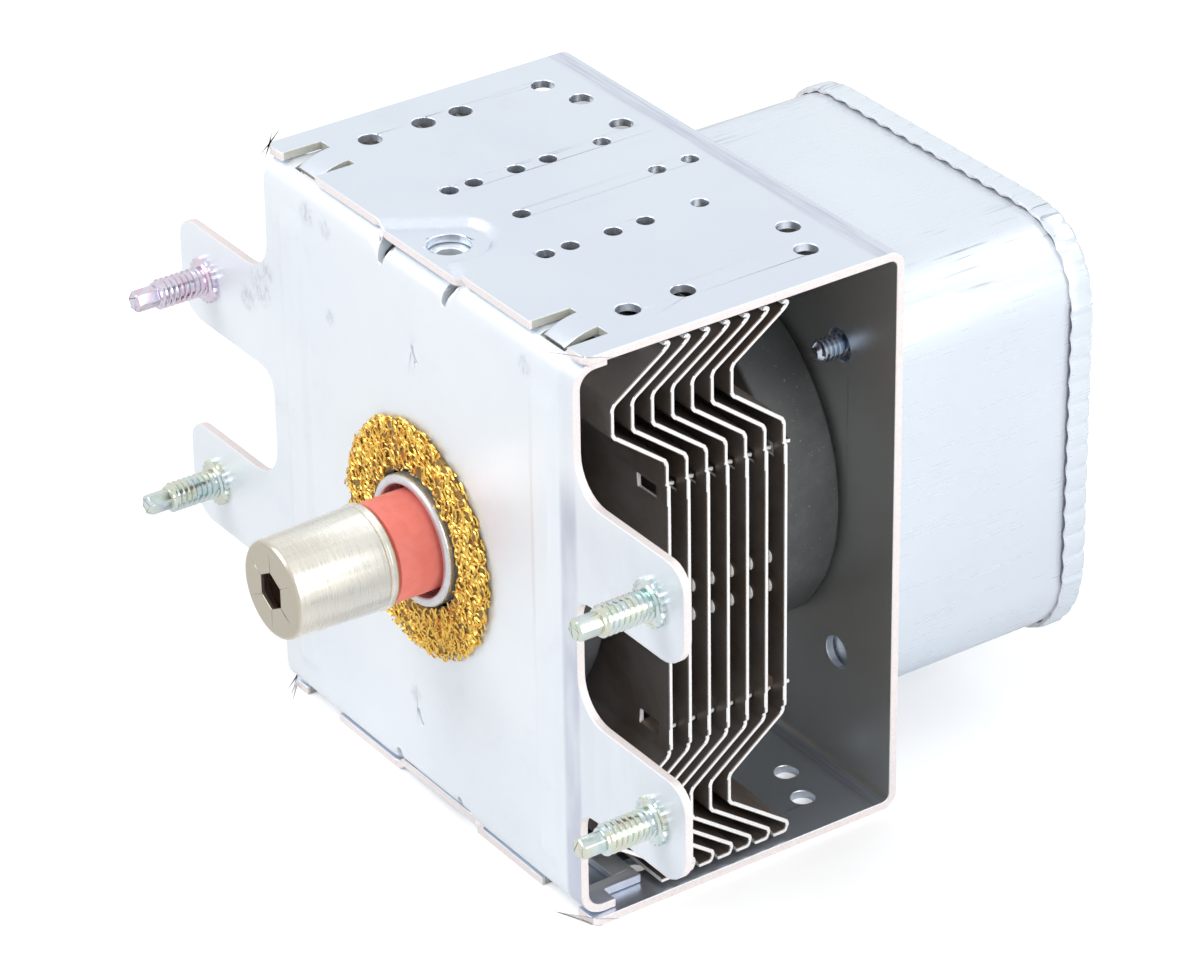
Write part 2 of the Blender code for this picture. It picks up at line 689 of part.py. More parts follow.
def fins():
    """Seven folded fins around the anode, each with its windows and bent spacer tongues."""
    for k in range(FIN_COUNT):
        y = FIN_FIRST_Y + FIN_PITCH * k
        obj = prism("fin_%d" % (k + 1), thicken(fin_path(y), FIN_SHEET), "x", -FIN_HALF, FIN_HALF, FIN_METAL)
        cut = bmesh.new()
        drill_into(cut, ANODE_R + FIT, y - KNEE_LOWER - 1.4, y + 1.4, 20)
        tongues = bmesh.new()
        for s in (-1, 1):
            for z in WINDOW_Z:
                a, b = sorted((s * WINDOW_X[0], s * (WINDOW_X[1] - FIN_SHEET)))
                prism_into(cut, box(a, b, z - WINDOW_HALF, z + WINDOW_HALF), "y", y - 1.4, y + 1.4)
                a, b = sorted((s * (WINDOW_X[1] - FIN_SHEET), s * WINDOW_X[1]))
                prism_into(tongues, box(a, b, z - WINDOW_HALF + 0.05, z + WINDOW_HALF - 0.05), "y",
                           y, y + FIN_PITCH - FIN_SHEET / 2 - FIT)
        boolean(obj, make("join_tongues_%d" % (k + 1), tongues), "UNION")
        boolean(obj, make("cut_fin_%d" % (k + 1), cut))
        if k < 3:
            clear = bmesh.new()
            drill_into(clear, MAGNET_R + FIT + 0.2, PLATE_FACE - 5, FRONT_MAGNET_END + FIT, 32)
            boolean(obj, make("cut_fin_magnet_%d" % (k + 1), clear))


def magnets():
    """The two ring magnets, one behind the front plate and one before the back wall."""
    for name, a in (("magnet_front", FRONT_MAGNET_Y), ("magnet_rear", REAR_MAGNET_Y)):
        b = a + MAGNET_THICK
        e = MAGNET_EDGE
        profile = [(MAGNET_R, a + e), (MAGNET_R, b - e), (MAGNET_R - e, b), (MAGNET_HOLE_R, b),
                   (MAGNET_HOLE_R, a), (MAGNET_R - e, a)]
        lathe(name, profile, 32, DARK_FERRITE)


def anode():
    """The copper tube with its ten vanes in one piece."""
    c = TUBE_MID
    inner = ANODE_R - ANODE_WALL
    profile = [(ANODE_R, c - ANODE_HALF), (ANODE_R, c + ANODE_HALF), (inner, c + ANODE_HALF),
               (inner, c - ANODE_HALF)]
    obj = lathe("anode_block", profile, 30, COPPER)
    vanes = bmesh.new()
    for k in range(VANES):
        a = 2 * math.pi * (k + 0.5) / VANES
        ca, sa = math.cos(a), math.sin(a)
        outline = []
        for r, t in ((VANE_TIP_R, -1), (inner + 1, -1), (inner + 1, 1), (VANE_TIP_R, 1)):
            u, v = r, t * VANE_THICK / 2
            if r == VANE_TIP_R:
                v *= 0.8
            outline.append((u * ca - v * sa, AXIS_Z + u * sa + v * ca))
        prism_into(vanes, outline, "y", c - VANE_HALF, c + VANE_HALF)
    boolean(obj, make("join_vanes", vanes), "UNION")


def pole_pieces():
    """Iron funnels that lead the field of each magnet to the vanes."""
    for name, s in (("pole_piece_front", -1), ("pole_piece_rear", 1)):
        rim = ANODE_R - ANODE_WALL - FIT
        end, nose, p = ANODE_HALF - 0.2, VANE_HALF + 1.4, POLE_SHEET
        outline = [(rim, end), (rim, end - p), (POLE_NOSE_R + 2.6, end - p), (POLE_NOSE_R, nose),
                   (POLE_BORE_R, nose), (POLE_BORE_R, nose + p), (POLE_NOSE_R - p / 2, nose + p),
                   (POLE_NOSE_R + 1.8, end)]
        pole = lathe(name, [(r, TUBE_MID + s * w) for r, w in outline], 18, IRON)
        if s < 0:
            slot = bmesh.new()
            drill_into(slot, LEAD_R + 0.5, TUBE_MID - ANODE_HALF - 1, TUBE_MID - VANE_HALF, 12,
                       z=AXIS_Z + LEAD_OFFSET)
            boolean(pole, make("cut_pole_lead", slot))


def end_shells():
    """Drawn steel cups that seal the tube and pass through the magnets."""
    rim, flat = ANODE_R - 0.6, SHELL_RIM
    start = TUBE_MID - ANODE_HALF - FIT
    profile = [(rim, start), (rim, start - flat), (NECK_R + 1.2, start - flat), (NECK_R, start - flat - 1.3),
               (NECK_R, NECK_RIM + 0.4), (NECK_R - 0.35, NECK_RIM), (NECK_R - 0.95, NECK_RIM),
               (NECK_BORE_R, NECK_RIM + 0.4), (NECK_BORE_R, start - 1.0), (NECK_BORE_R + 0.5, start)]
    lathe("antenna_shell", profile, 24, ZINC)
    start = TUBE_MID + ANODE_HALF + FIT
    bore = SHELL_NECK_R - SHELL_WALL
    profile = [(rim, start), (rim, start + flat), (SHELL_NECK_R + 0.3, start + flat),
               (SHELL_NECK_R, start + flat + 1.4),
               (SHELL_NECK_R, SHELL_END), (bore, SHELL_END), (bore, start + flat + 0.8),
               (bore + 0.3, start)]
    lathe("cathode_shell", profile, 20, ZINC)


def antenna():
    """Ceramic window, copper lead and the nickel cap with its six-sided hole."""
    inner = NECK_RIM + CERAMIC_IN
    spigot = CERAMIC_R - CERAMIC_LIP
    foot = NECK_BORE_R - FIT
    profile = [(foot, inner), (CERAMIC_BORE_R, inner), (CERAMIC_BORE_R, CERAMIC_FRONT), (spigot, CERAMIC_FRONT),
               (spigot, CAP_OPEN + FIT), (CERAMIC_R, CAP_OPEN + FIT + 0.2), (CERAMIC_R, inner - 2.0),
               (foot, inner - 1.6)]
    lathe("antenna_ceramic", profile, 24, PINK_CERAMIC)
    wire = bmesh.new()
    high = AXIS_Z + LEAD_OFFSET
    sweep_into(wire, [(0, TUBE_MID - VANE_HALF - FIT, high), (0, TUBE_MID - ANODE_HALF + 0.4, high),
                      (0, TUBE_MID - ANODE_HALF - 1.0, high - 0.9), (0, inner - 1.2, AXIS_Z + 1.0),
                      (0, inner - 3.0, AXIS_Z), (0, CAP_TIP + 4.0, AXIS_Z)], LEAD_R, 10)
    make("antenna_lead", wire, COPPER, smooth=True)
    w = CAP_WALL
    profile = [(CAP_OPEN_R - 0.25, CAP_OPEN), (CAP_OPEN_R, CAP_OPEN - 0.3), (CAP_OPEN_R, CAP_OPEN - 0.75),
               (CAP_OPEN_R - 0.14, CAP_OPEN - 1.2), (CAP_TIP_R + 0.04, CAP_TIP + 1.0),
               (CAP_TIP_R - 0.25, CAP_TIP + 0.3), (CAP_TIP_R - 0.85, CAP_TIP), (0, CAP_TIP),
               (0, CAP_TIP + w), (CAP_TIP_R - 1.1, CAP_TIP + w), (CAP_TIP_R - w, CAP_TIP + 1.2),
               (spigot + FIT, CAP_OPEN - CAP_LAP - FIT), (spigot + FIT, CAP_OPEN)]
    bm = bmesh.new()
    lathe_cup(bm, profile, 24)
    cap = make("antenna_cap", bm, NICKEL, smooth=True)
    hexagon = [(CAP_HEX / math.sqrt(3) * math.cos(math.radians(90 + 60 * k)),
                AXIS_Z + CAP_HEX / math.sqrt(3) * math.sin(math.radians(90 + 60 * k))) for k in range(6)]
    tool = bmesh.new()
    prism_into(tool, hexagon, "y", CAP_TIP - 1, CAP_TIP + 2)
    boolean(cap, make("cut_cap_hex", tool))


def lathe_cup(bm, profile, steps):
    """A turned cup, whose profile crosses the axis twice along its end wall."""
    rings = []
    for r, w in profile:
        if r < 1e-6:
            rings.append([bm.verts.new(turned(0, 0, w, 0, AXIS_Z, "y"))])
        else:
            turns = [2 * math.pi * k / steps for k in range(steps)]
            rings.append([bm.verts.new(turned(r * math.cos(a), r * math.sin(a), w, 0, AXIS_Z, "y")) for a in turns])
    for a, b in zip(rings, rings[1:] + rings[:1]):
        if len(a) == 1 and len(b) == 1:
            continue
        for k in range(steps):
            j = (k + 1) % steps
            if len(a) == 1:
                bm.faces.new((a[0], b[j], b[k]))
            elif len(b) == 1:
                bm.faces.new((a[k], a[j], b[0]))
            else:
                bm.faces.new((a[k], a[j], b[j], b[k]))


def gasket():
    """The knitted mesh ring that lies against the front plate around the neck."""
    a, b = PLATE_FACE - 0.2, PLATE_FACE - 0.2 - GASKET_THICK
    inner = NECK_R + FIT
    profile = [(GASKET_R - 0.25, a), (GASKET_R, a - 0.3), (GASKET_R, b + 0.3), (GASKET_R - 0.35, b),
               (inner + 0.3, b), (inner, a)]
    lathe("mesh_gasket", profile, 32, BRASS)


def rounded_square(half, radius, z0=BOX_Z, steps=4):
    out = []
    for sx, sz, start in ((1, 1, 0), (-1, 1, 90), (-1, -1, 180), (1, -1, 270)):
        out += arc(sx * (half - radius), z0 + sz * (half - radius), radius, start, start + 90, steps)
    return out


def loft(name, sections, finish):
    """A closed piece from rings of like outlines. Each section is an outline and its place along Y."""
    bm = bmesh.new()
    rings = [[bm.verts.new(vec(u, y, v)) for u, v in outline] for outline, y in sections]
    count = len(rings[0])
    for a, b in zip(rings, rings[1:]):
        for k in range(count):
            j = (k + 1) % count
            bm.faces.new((a[k], a[j], b[j], b[k]))
    bm.faces.new(rings[0])
    bm.faces.new(rings[-1])
    return make(name, bm, finish)


def filter_box():
    """A deep-drawn box that shields the cathode leads, open at the back."""
    s, b, t = BOX_FLOOR_BEND, BOX_HALF, BOX_SHEET
    sections = [(rounded_square(b - s, BOX_CORNER - s), BOX_FRONT)]
    for k in (1, 2, 3):
        a = math.radians(30 * k)
        inset = s * (1 - math.sin(a))
        sections.append((rounded_square(b - inset, BOX_CORNER - inset), BOX_FRONT + s * (1 - math.cos(a))))
    sections.append((rounded_square(b, BOX_CORNER), BOX_REAR))
    sections.append((rounded_square(b - t, BOX_CORNER - t), BOX_REAR))
    for k in (3, 2, 1):
        a = math.radians(30 * k)
        inset = t + (s - t) * (1 - math.sin(a))
        sections.append((rounded_square(b - inset, BOX_CORNER - inset), BOX_FRONT + t + (s - t) * (1 - math.cos(a))))
    sections.append((rounded_square(b - s, BOX_CORNER - s), BOX_FRONT + t))
    obj = loft("filter_box", sections, ZINC)
    cut = bmesh.new()
    drill_into(cut, SHELL_NECK_R + 0.8, BOX_FRONT - 2, BOX_FRONT + 3, 28)
    for way in (-1, 1):
        x, z = way * SCREW_X, BOX_Z + way * SCREW_RISE
        drill_into(cut, SCREW_R + FIT, BOX_FRONT - 2, BOX_FRONT + 3, 12, x=x, z=z)
    outline = [(CAP_Y + u, BOX_Z + v) for u, v in stadium(CAP_HALF + 0.2, CAP_ROUND + 0.4)]
    prism_into(cut, outline, "x", -BOX_HALF - 2, -BOX_HALF + 3)
    boolean(obj, make("cut_box", cut))


def stadium(half, radius, steps=6):
    """A slot outline with its long side along the second axis."""
    return arc(0, half, radius, 0, 180, steps) + arc(0, -half, radius, 180, 360, steps)


def filter_lid():
    """The lid pressed over the end of the filter box."""
    b, o, t = BOX_HALF, LID_OVER, BOX_SHEET
    r = BOX_CORNER + o
    sections = [
        (rounded_square(b + o - 0.25, r - 0.25), LID_FRONT), (rounded_square(b + o, r), LID_FRONT + 0.3),
        (rounded_square(b + o, r), LID_REAR - 0.8), (rounded_square(b + o - 0.25, r - 0.25), LID_REAR - 0.25),
        (rounded_square(b + o - 0.8, r - 0.8), LID_REAR), (rounded_square(b + o - 2.0, r - 2.0), LID_REAR),
        (rounded_square(b + o - 2.8, r - 2.8), LID_REAR - 0.4),
    ]
    bm = bmesh.new()
    rings = [[bm.verts.new(vec(u, y, v)) for u, v in outline] for outline, y in sections]
    bore = rounded_square(b + FIT, BOX_CORNER + FIT)
    inner = [(bore, BOX_REAR + FIT), (bore, LID_FRONT)]
    inner_rings = [[bm.verts.new(vec(u, y, v)) for u, v in outline] for outline, y in inner]
    order = inner_rings + rings
    count = len(rings[0])
    for a, c in zip(order, order[1:]):
        for k in range(count):
            j = (k + 1) % count
            bm.faces.new((a[k], a[j], c[j], c[k]))
    bm.faces.new(order[0])
    bm.faces.new(order[-1])
    make("filter_lid", bm, ZINC)


def filter_screws():
    """Two screws from inside the box into the back wall, at opposite corners."""
    for name, s in (("filter_screw_1", 1), ("filter_screw_2", -1)):
        x, z = s * SCREW_X, BOX_Z + s * SCREW_RISE
        head = BOX_FRONT + BOX_SHEET + FIT
        profile = [(0, head + 1.9), (1.6, head + 1.9), (3.1, head + 1.2), (3.3, head), (SCREW_R, head),
                   (SCREW_R, WALL_INNER - 3.4), (1.1, WALL_INNER - 4.4), (0, WALL_INNER - 4.4)]
        lathe(name, profile, 12, TIN, x=x, z=z)


def cathode():
    """The heater with its end hats, the ceramic stem and its two lead posts."""
    c = TUBE_MID
    hat = VANE_HALF + 0.6
    rod_end = STEM_FLOOR - FIT
    profile = [(0, c - hat - 1.2), (3.6, c - hat - 1.2), (3.6, c - hat), (1.9, c - hat), (1.9, c + hat),
               (3.6, c + hat), (3.6, c + hat + 1.0), (1.5, c + hat + 1.4), (1.5, rod_end), (0, rod_end)]
    lathe("cathode_heater", profile, 14, IRON)
    profile = [(STEM_R, STEM_START), (STEM_R, STEM_END - 0.6), (STEM_R - 0.6, STEM_END), (0, STEM_END),
               (0, STEM_FLOOR), (5.2, STEM_FLOOR), (5.2, STEM_START)]
    bm = bmesh.new()
    lathe_cup(bm, profile, 24)
    make("stem_ceramic", bm, PINK_CERAMIC, smooth=True)
    for name, s in (("lead_post_upper", 1), ("lead_post_lower", -1)):
        z = AXIS_Z + s * POST_RISE
        outline = [(-POST_HALF, z - POST_THICK / 2), (POST_HALF, z - POST_THICK / 2),
                   (POST_HALF, z + POST_THICK / 2), (-POST_HALF, z + POST_THICK / 2)]
        prism(name, outline, "y", STEM_END + FIT, STEM_END + FIT + POST_LONG, IRON)


def chokes():
    """Two copper windings on ferrite rods, each with its wire led to a post and to the capacitor."""
    for name, s in (("choke_upper", 1), ("choke_lower", -1)):
        z = BOX_Z + s * CHOKE_RISE
        lo, hi = CHOKE_X
        lathe(name + "_core", [(0, lo), (CHOKE_ROD_R, lo), (CHOKE_ROD_R, hi), (0, hi)], 12, DARK_FERRITE,
              x=CHOKE_Y, z=z, along="x")
        face = -BOX_HALF + CAP_IN + FIT + COIL_WIRE_R
        path = [(face, CAP_Y, BOX_Z + s * BLADE_STEP / 2), (face + 0.3, CHOKE_Y - COIL_R - 1.0, z - s * 2.0)]
        first, last, steps = lo + 2.2, hi - 3.0, 8
        total = COIL_TURNS * steps
        for k in range(total + 1):
            a = math.pi + s * 2 * math.pi * k / steps
            path.append((first + (last - first) * k / total, CHOKE_Y + COIL_R * math.cos(a),
                         z + COIL_R * math.sin(a)))
        post_y = STEM_END + FIT + POST_LONG
        post_z = AXIS_Z + s * (POST_RISE + POST_THICK / 2 + FIT + COIL_WIRE_R)
        path += [(last + 2.2, CHOKE_Y - COIL_R - 0.6, z - s * 1.5), (POST_HALF / 2, post_y - 0.5, post_z + s * 0.1),
                 (POST_HALF / 2 + 0.4, post_y - 3.0, post_z)]
        wire = bmesh.new()
        sweep_into(wire, path, COIL_WIRE_R, 4)
        make(name + "_coil", wire, COPPER, smooth=True)


def capacitor():
    """The feed-through capacitor: a steel flange, its moulded body and two blade terminals."""
    flange_out = -BOX_HALF - FIT
    bm = bmesh.new()
    outer = [(CAP_Y + u, BOX_Z + v) for u, v in stadium(FLANGE_HALF, FLANGE_ROUND)]
    prism_into(bm, outer, "x", flange_out - 1.0, flange_out)
    flange = make("capacitor_flange", bm, ZINC)
    tool = bmesh.new()
    prism_into(tool, [(CAP_Y + u, BOX_Z + v) for u, v in stadium(CAP_HALF + 0.2, CAP_ROUND + 0.4)], "x", flange_out - 3, flange_out + 2)
    boolean(flange, make("cut_capacitor_flange", tool))
    body = prism("capacitor_body", [(CAP_Y + u, BOX_Z + v) for u, v in stadium(CAP_HALF, CAP_ROUND)],
                 "x", -BOX_HALF - CAP_OUT, -BOX_HALF + CAP_IN, BLACK_PLASTIC)
    cut = bmesh.new()
    for s in (-1, 1):
        z = BOX_Z + s * BLADE_STEP / 2
        prism_into(cut, box(CAP_Y - 3.5, CAP_Y + 3.5, z - 0.75, z + 0.75), "x", -BOX_HALF - 12, -BOX_HALF - 3)
    boolean(body, make("cut_capacitor_body", cut))
    for name, s in (("terminal_upper", 1), ("terminal_lower", -1)):
        z = BOX_Z + s * BLADE_STEP / 2
        root, tip = -BOX_HALF - 3.4, -BOX_HALF - BLADE_OUT
        corners = [(root, CAP_Y - 3.15), (root, CAP_Y + 3.15), (tip, CAP_Y + 3.15), (tip, CAP_Y - 3.15)]
        outline = fillet(corners, [0, 0, 1.2, 1.2], 2, closed=True)
        obj = prism(name, outline, "z", z - 0.4, z + 0.4, BRASS)
        hole = bmesh.new()
        drill_into(hole, 0.9, z - 2, z + 2, 10, x=-BOX_HALF - BLADE_OUT + 4.0, z=CAP_Y, along="z")
        boolean(obj, make("cut_" + name, hole))


def main():
    for obj in list(bpy.data.objects):
        bpy.data.objects.remove(obj, do_unlink=True)
    yoke_channel()
    front_plate()
    studs()
    fins()
    magnets()
    anode()
    pole_pieces()
    end_shells()
    antenna()
    gasket()
    filter_box()
    filter_lid()
    filter_screws()
    cathode()
    chokes()
    capacitor()


main()
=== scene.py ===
"""A microwave-oven magnetron: zinc-plated yoke, folded fins, ring magnets, antenna with mesh gasket, filter box."""

import math
import random

import bmesh
import bpy
from bpy.props import FloatProperty, FloatVectorProperty, IntProperty, PointerProperty
from bpy.types import Operator, Panel, PropertyGroup
from mathutils import Matrix, Vector, noise


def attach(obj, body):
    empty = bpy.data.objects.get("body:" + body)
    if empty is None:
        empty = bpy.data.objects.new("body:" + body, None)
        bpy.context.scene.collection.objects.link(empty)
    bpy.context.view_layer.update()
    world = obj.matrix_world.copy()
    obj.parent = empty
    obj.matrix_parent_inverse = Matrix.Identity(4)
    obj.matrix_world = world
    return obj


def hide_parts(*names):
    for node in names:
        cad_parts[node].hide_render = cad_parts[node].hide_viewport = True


bl_info = {
    "name": "Magnetron",
    "version": (1, 0, 0),
    "blender": (4, 5, 0),
    "location": "View3D > Sidebar > Magnetron",
    "description": "Dresses the plain solids of a magnetron with formed sheet, threads, mesh and worn metal finishes",
    "category": "Object",
}

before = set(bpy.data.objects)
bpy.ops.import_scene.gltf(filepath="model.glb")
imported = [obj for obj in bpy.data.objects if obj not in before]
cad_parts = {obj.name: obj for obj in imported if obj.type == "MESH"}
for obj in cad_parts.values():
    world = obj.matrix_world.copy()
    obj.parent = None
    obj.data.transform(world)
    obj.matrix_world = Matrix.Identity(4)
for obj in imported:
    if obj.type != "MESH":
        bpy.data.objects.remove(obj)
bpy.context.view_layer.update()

MM = 0.001

# Sizes in millimetres that the pieces share with the solids.
HALF_W = 35.15
FRONT, BACK = -23.45, 23.45
HIGH = 80.0
SHEET = 1.15
YOKE_BEND = 2.2
BIG_HOLE_R = 1.55
SMALL_HOLE_R = 1.15
SEAT_HOLE_R = 2.8
STEM_HOLE_R = 14.0
SCREW_HOLE_R = 2.2
SCREW_X, SCREW_RISE = 23.8, 22.3
AXIS_Z = 39.7
SEAT_Y = -19.1
PLATE_FACE = -24.7
PLATE_HALF = 34.25
PLATE_BEND = 3.35
PLATE_LOW, PLATE_HIGH = 4.6, 75.4
EAR_Z = (24.55, 54.85)
EAR_TIP = 56.4
STUD_X = 50.0
SLOT_IN = (23.7, 25.0)
SLOT_OUT = (29.4, 31.5)
SLOT_END = -17.6
TAB_FRONT = -22.4
BIG_HOLES = (
    (-28.3, -12.3), (-28.3, -4.3), (-28.3, 1.3), (-28.3, 13.9), (-22.1, 15.6),
    (-13.2, 15.6), (22.1, 15.6), (28.1, 13.8), (28.0, -4.3), (28.0, -12.3),
)
SMALL_HOLES = tuple((x, y) for x in (-10.5, 10.5) for y in (-12.1, -8.5, -2.2, 2.6, 10.75)) + (
    (0.0, -8.5), (0.0, 11.8), (0.0, 16.8),
)
FIN_HALF = 34.2
FIN_FIRST = -11.2
FIN_PITCH = 2.89
WINDOW_X = (28.4, 32.3)
WINDOW_Z = (56.9, 23.1)
MAGNET_R = 24.9
MAGNET_BORE = 10.6
BOX_Z = 40.0
BOX_HALF = 30.0
BOX_FRONT, BOX_REAR = 23.75, 55.9
LID_FRONT, LID_REAR = 53.6, 57.3
CAP_Y = 39.0


# Making shapes.


def mm(x, y, z):
    return Vector((x, y, z)) * MM


def wire(bm, points, radii=None, steps=4, closed=False):
    """A row of joined vertices whose corners are rounded with bevel. Gives all its edges."""
    verts = [bm.verts.new(mm(*p)) for p in points]
    count = len(verts)
    for i in range(count if closed else count - 1):
        bm.edges.new((verts[i], verts[(i + 1) % count]))
    for i, radius in enumerate(radii or ()):
        if not radius:
            continue
        a = (Vector(points[i - 1]) - Vector(points[i])).normalized()
        b = (Vector(points[(i + 1) % count]) - Vector(points[i])).normalized()
        half = a.angle(b) / 2
        bmesh.ops.bevel(
            bm, geom=[verts[i]], offset=radius / math.tan(half) * MM, offset_type="OFFSET",
            segments=steps, profile=0.5, affect="VERTICES", material=-1,
        )
    return list(bm.edges)


def pull(bm, edges, move):
    """Extrudes edges by a vector and gives the new edges."""
    geom = bmesh.ops.extrude_edge_only(bm, edges=edges)["geom"]
    bmesh.ops.translate(bm, verts=[g for g in geom if isinstance(g, bmesh.types.BMVert)], vec=move)
    return [g for g in geom if isinstance(g, bmesh.types.BMEdge)]


def slab_into(bm, points, move, radii=None, steps=4):
    """A closed outline with rounded corners, drawn out along a vector."""
    part = bmesh.new()
    edges = wire(part, points, radii, steps, closed=True)
    face = bmesh.ops.contextual_create(part, geom=edges)["faces"]
    geom = bmesh.ops.extrude_face_region(part, geom=face)["geom"]
    bmesh.ops.translate(part, verts=[g for g in geom if isinstance(g, bmesh.types.BMVert)], vec=mm(*move))
    bmesh.ops.recalc_face_normals(part, faces=part.faces)
    join(bm, part)


def join(bm, part):
    """Adds one bmesh to another."""
    mesh = bpy.data.meshes.new("part")
    part.to_mesh(mesh)
    part.free()
    bm.from_mesh(mesh)
    bpy.data.meshes.remove(mesh)


def turn_into(bm, profile, radii=None, sides=96, steps=4, closed=True, x=0.0, z=AXIS_Z):
    """A profile of radius and place along Y, spun once around an axis along Y."""
    part = bmesh.new()
    edges = wire(part, [(x + r, y, z) for r, y in profile], radii, steps, closed=closed)
    bmesh.ops.spin(
        part, geom=list(part.verts) + edges, cent=mm(x, 0, z), axis=(0, 1, 0), angle=math.tau,
        steps=sides, use_merge=True,
    )
    bmesh.ops.remove_doubles(part, verts=part.verts, dist=1e-7)
    bmesh.ops.recalc_face_normals(part, faces=part.faces)
    join(bm, part)


def cylinder_into(bm, radius, a, b, sides=32):
    """A plain cylinder from a to b, for cutting holes."""
    a, b = mm(*a), mm(*b)
    way = b - a
    place = Matrix.Translation((a + b) / 2) @ way.to_track_quat("Z", "Y").to_matrix().to_4x4()
    bmesh.ops.create_cone(
        bm, cap_ends=True, segments=sides, radius1=radius * MM, radius2=radius * MM,
        depth=way.length, matrix=place,
    )


def cuboid_into(bm, low, high):
    low, high = Vector(low), Vector(high)
    place = Matrix.Translation((low + high) / 2 * MM) @ Matrix.Diagonal((*((high - low) * MM), 1))
    bmesh.ops.create_cube(bm, size=1.0, matrix=place)


def keep(bm, name, *materials, merge=1e-7, outward=True):
    """Turns a bmesh into an object at the origin, with its materials."""
    if merge:
        bmesh.ops.remove_doubles(bm, verts=bm.verts, dist=merge)
    if outward:
        bmesh.ops.recalc_face_normals(bm, faces=bm.faces)
    mesh = bpy.data.meshes.new(name)
    bm.to_mesh(mesh)
    bm.free()
    obj = bpy.data.objects.new(name, mesh)
    bpy.context.scene.collection.objects.link(obj)
    for material in materials:
        mesh.materials.append(material)
    return obj


def settle(obj, angle=32):
    """Applies the modifiers of a piece and sets which edges look sharp."""
    graph = bpy.context.evaluated_depsgraph_get()
    mesh = bpy.data.meshes.new_from_object(obj.evaluated_get(graph), depsgraph=graph)
    old = obj.data
    obj.modifiers.clear()
    obj.data = mesh
    mesh.name = obj.name
    bpy.data.meshes.remove(old)
    if angle:
        soften(obj, angle)
    return obj


def soften(obj, angle=32):
    obj.data.shade_smooth()
    obj.data.set_sharp_from_angle(angle=math.radians(angle))


def carve(obj, tools, operation="DIFFERENCE"):
    """Cuts tools out of a piece, or joins them on, and removes them."""
    for tool in tools:
        step = obj.modifiers.new(tool.name, "BOOLEAN")
        step.operation = operation
        step.solver = "EXACT"
        step.object = tool
    settle(obj)
    for tool in tools:
        mesh = tool.data
        bpy.data.objects.remove(tool)
        bpy.data.meshes.remove(mesh)
    return obj


def thicken(obj, thickness, rim=0):
    """Gives a sheet its wall, towards the inside."""
    step = obj.modifiers.new("wall", "SOLIDIFY")
    step.thickness = thickness * MM
    step.offset = -1
    step.use_even_offset = True
    step.material_offset_rim = rim
    settle(obj)


def ease(obj, width, segments=2, angle=35):
    """Breaks the sharp edges of a piece, and keeps its flats looking flat."""
    split = obj.modifiers.new("split", "TRIANGULATE")
    split.min_vertices = 5
    settle(obj, 32)
    step = obj.modifiers.new("edge", "BEVEL")
    step.width = width * MM
    step.segments = segments
    step.limit_method = "ANGLE"
    step.angle_limit = math.radians(angle)
    step.use_clamp_overlap = False
    step.miter_outer = "MITER_ARC"
    even = obj.modifiers.new("flats", "WEIGHTED_NORMAL")
    even.keep_sharp = True
    settle(obj, 0)


def grid(bm, xs=(), ys=(), zs=()):
    """Cuts a sheet along planes, so that it can be bent there."""
    for places, normal in ((xs, (1, 0, 0)), (ys, (0, 1, 0)), (zs, (0, 0, 1))):
        for place in places:
            geom = list(bm.verts) + list(bm.edges) + list(bm.faces)
            bmesh.ops.bisect_plane(bm, geom=geom, dist=1e-7, plane_co=Vector(normal) * place * MM,
                                   plane_no=normal)


def span(a, b, step):
    count = max(1, round((b - a) / step))
    return [a + (b - a) * i / count for i in range(count + 1)]


def rise(value):
    """A smooth step from 0 to 1."""
    t = min(1.0, max(0.0, value))
    return t * t * (3 - 2 * t)


def ride(obj, slot, *nodes):
    """The piece takes the place of solids and moves with the body."""
    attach(obj, "root")
    if nodes:
        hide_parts(*nodes)


# Finishes.


def material(name, colour, metallic, roughness):
    """A new material with its shader, ready for its pattern."""
    mat = bpy.data.materials.new(name)
    mat.use_nodes = True
    shader = mat.node_tree.nodes["Principled BSDF"]
    shader.inputs["Base Color"].default_value = (*colour, 1.0)
    shader.inputs["Metallic"].default_value = metallic
    shader.inputs["Roughness"].default_value = roughness
    return mat, mat.node_tree, shader


def add(tree, kind, **values):
    node = tree.nodes.new(kind)
    for key, value in values.items():
        setattr(node, key, value)
    return node


def noise_node(tree, vector, scale, detail=3.0, roughness=0.55, distortion=0.0):
    node = add(tree, "ShaderNodeTexNoise")
    node.inputs["Scale"].default_value = scale
    node.inputs["Detail"].default_value = detail
    node.inputs["Roughness"].default_value = roughness
    node.inputs["Distortion"].default_value = distortion
    tree.links.new(vector, node.inputs["Vector"])
    return node


def remap(tree, value, a, b, c, d):
    node = add(tree, "ShaderNodeMapRange", interpolation_type="SMOOTHSTEP")
    for name, number in zip(("From Min", "From Max", "To Min", "To Max"), (a, b, c, d)):
        node.inputs[name].default_value = number
    tree.links.new(value, node.inputs["Value"])
    return node.outputs["Result"]


def mix(tree, factor, a, b, mode="MIX"):
    """Blends two colours. a and b are sockets or colours."""
    node = add(tree, "ShaderNodeMix", data_type="RGBA", blend_type=mode)
    for socket, value in ((node.inputs[0], factor), (node.inputs[6], a), (node.inputs[7], b)):
        if isinstance(value, bpy.types.NodeSocket):
            tree.links.new(value, socket)
        elif isinstance(value, (int, float)):
            socket.default_value = value
        else:
            socket.default_value = (*value, 1.0)
    return node.outputs[2]


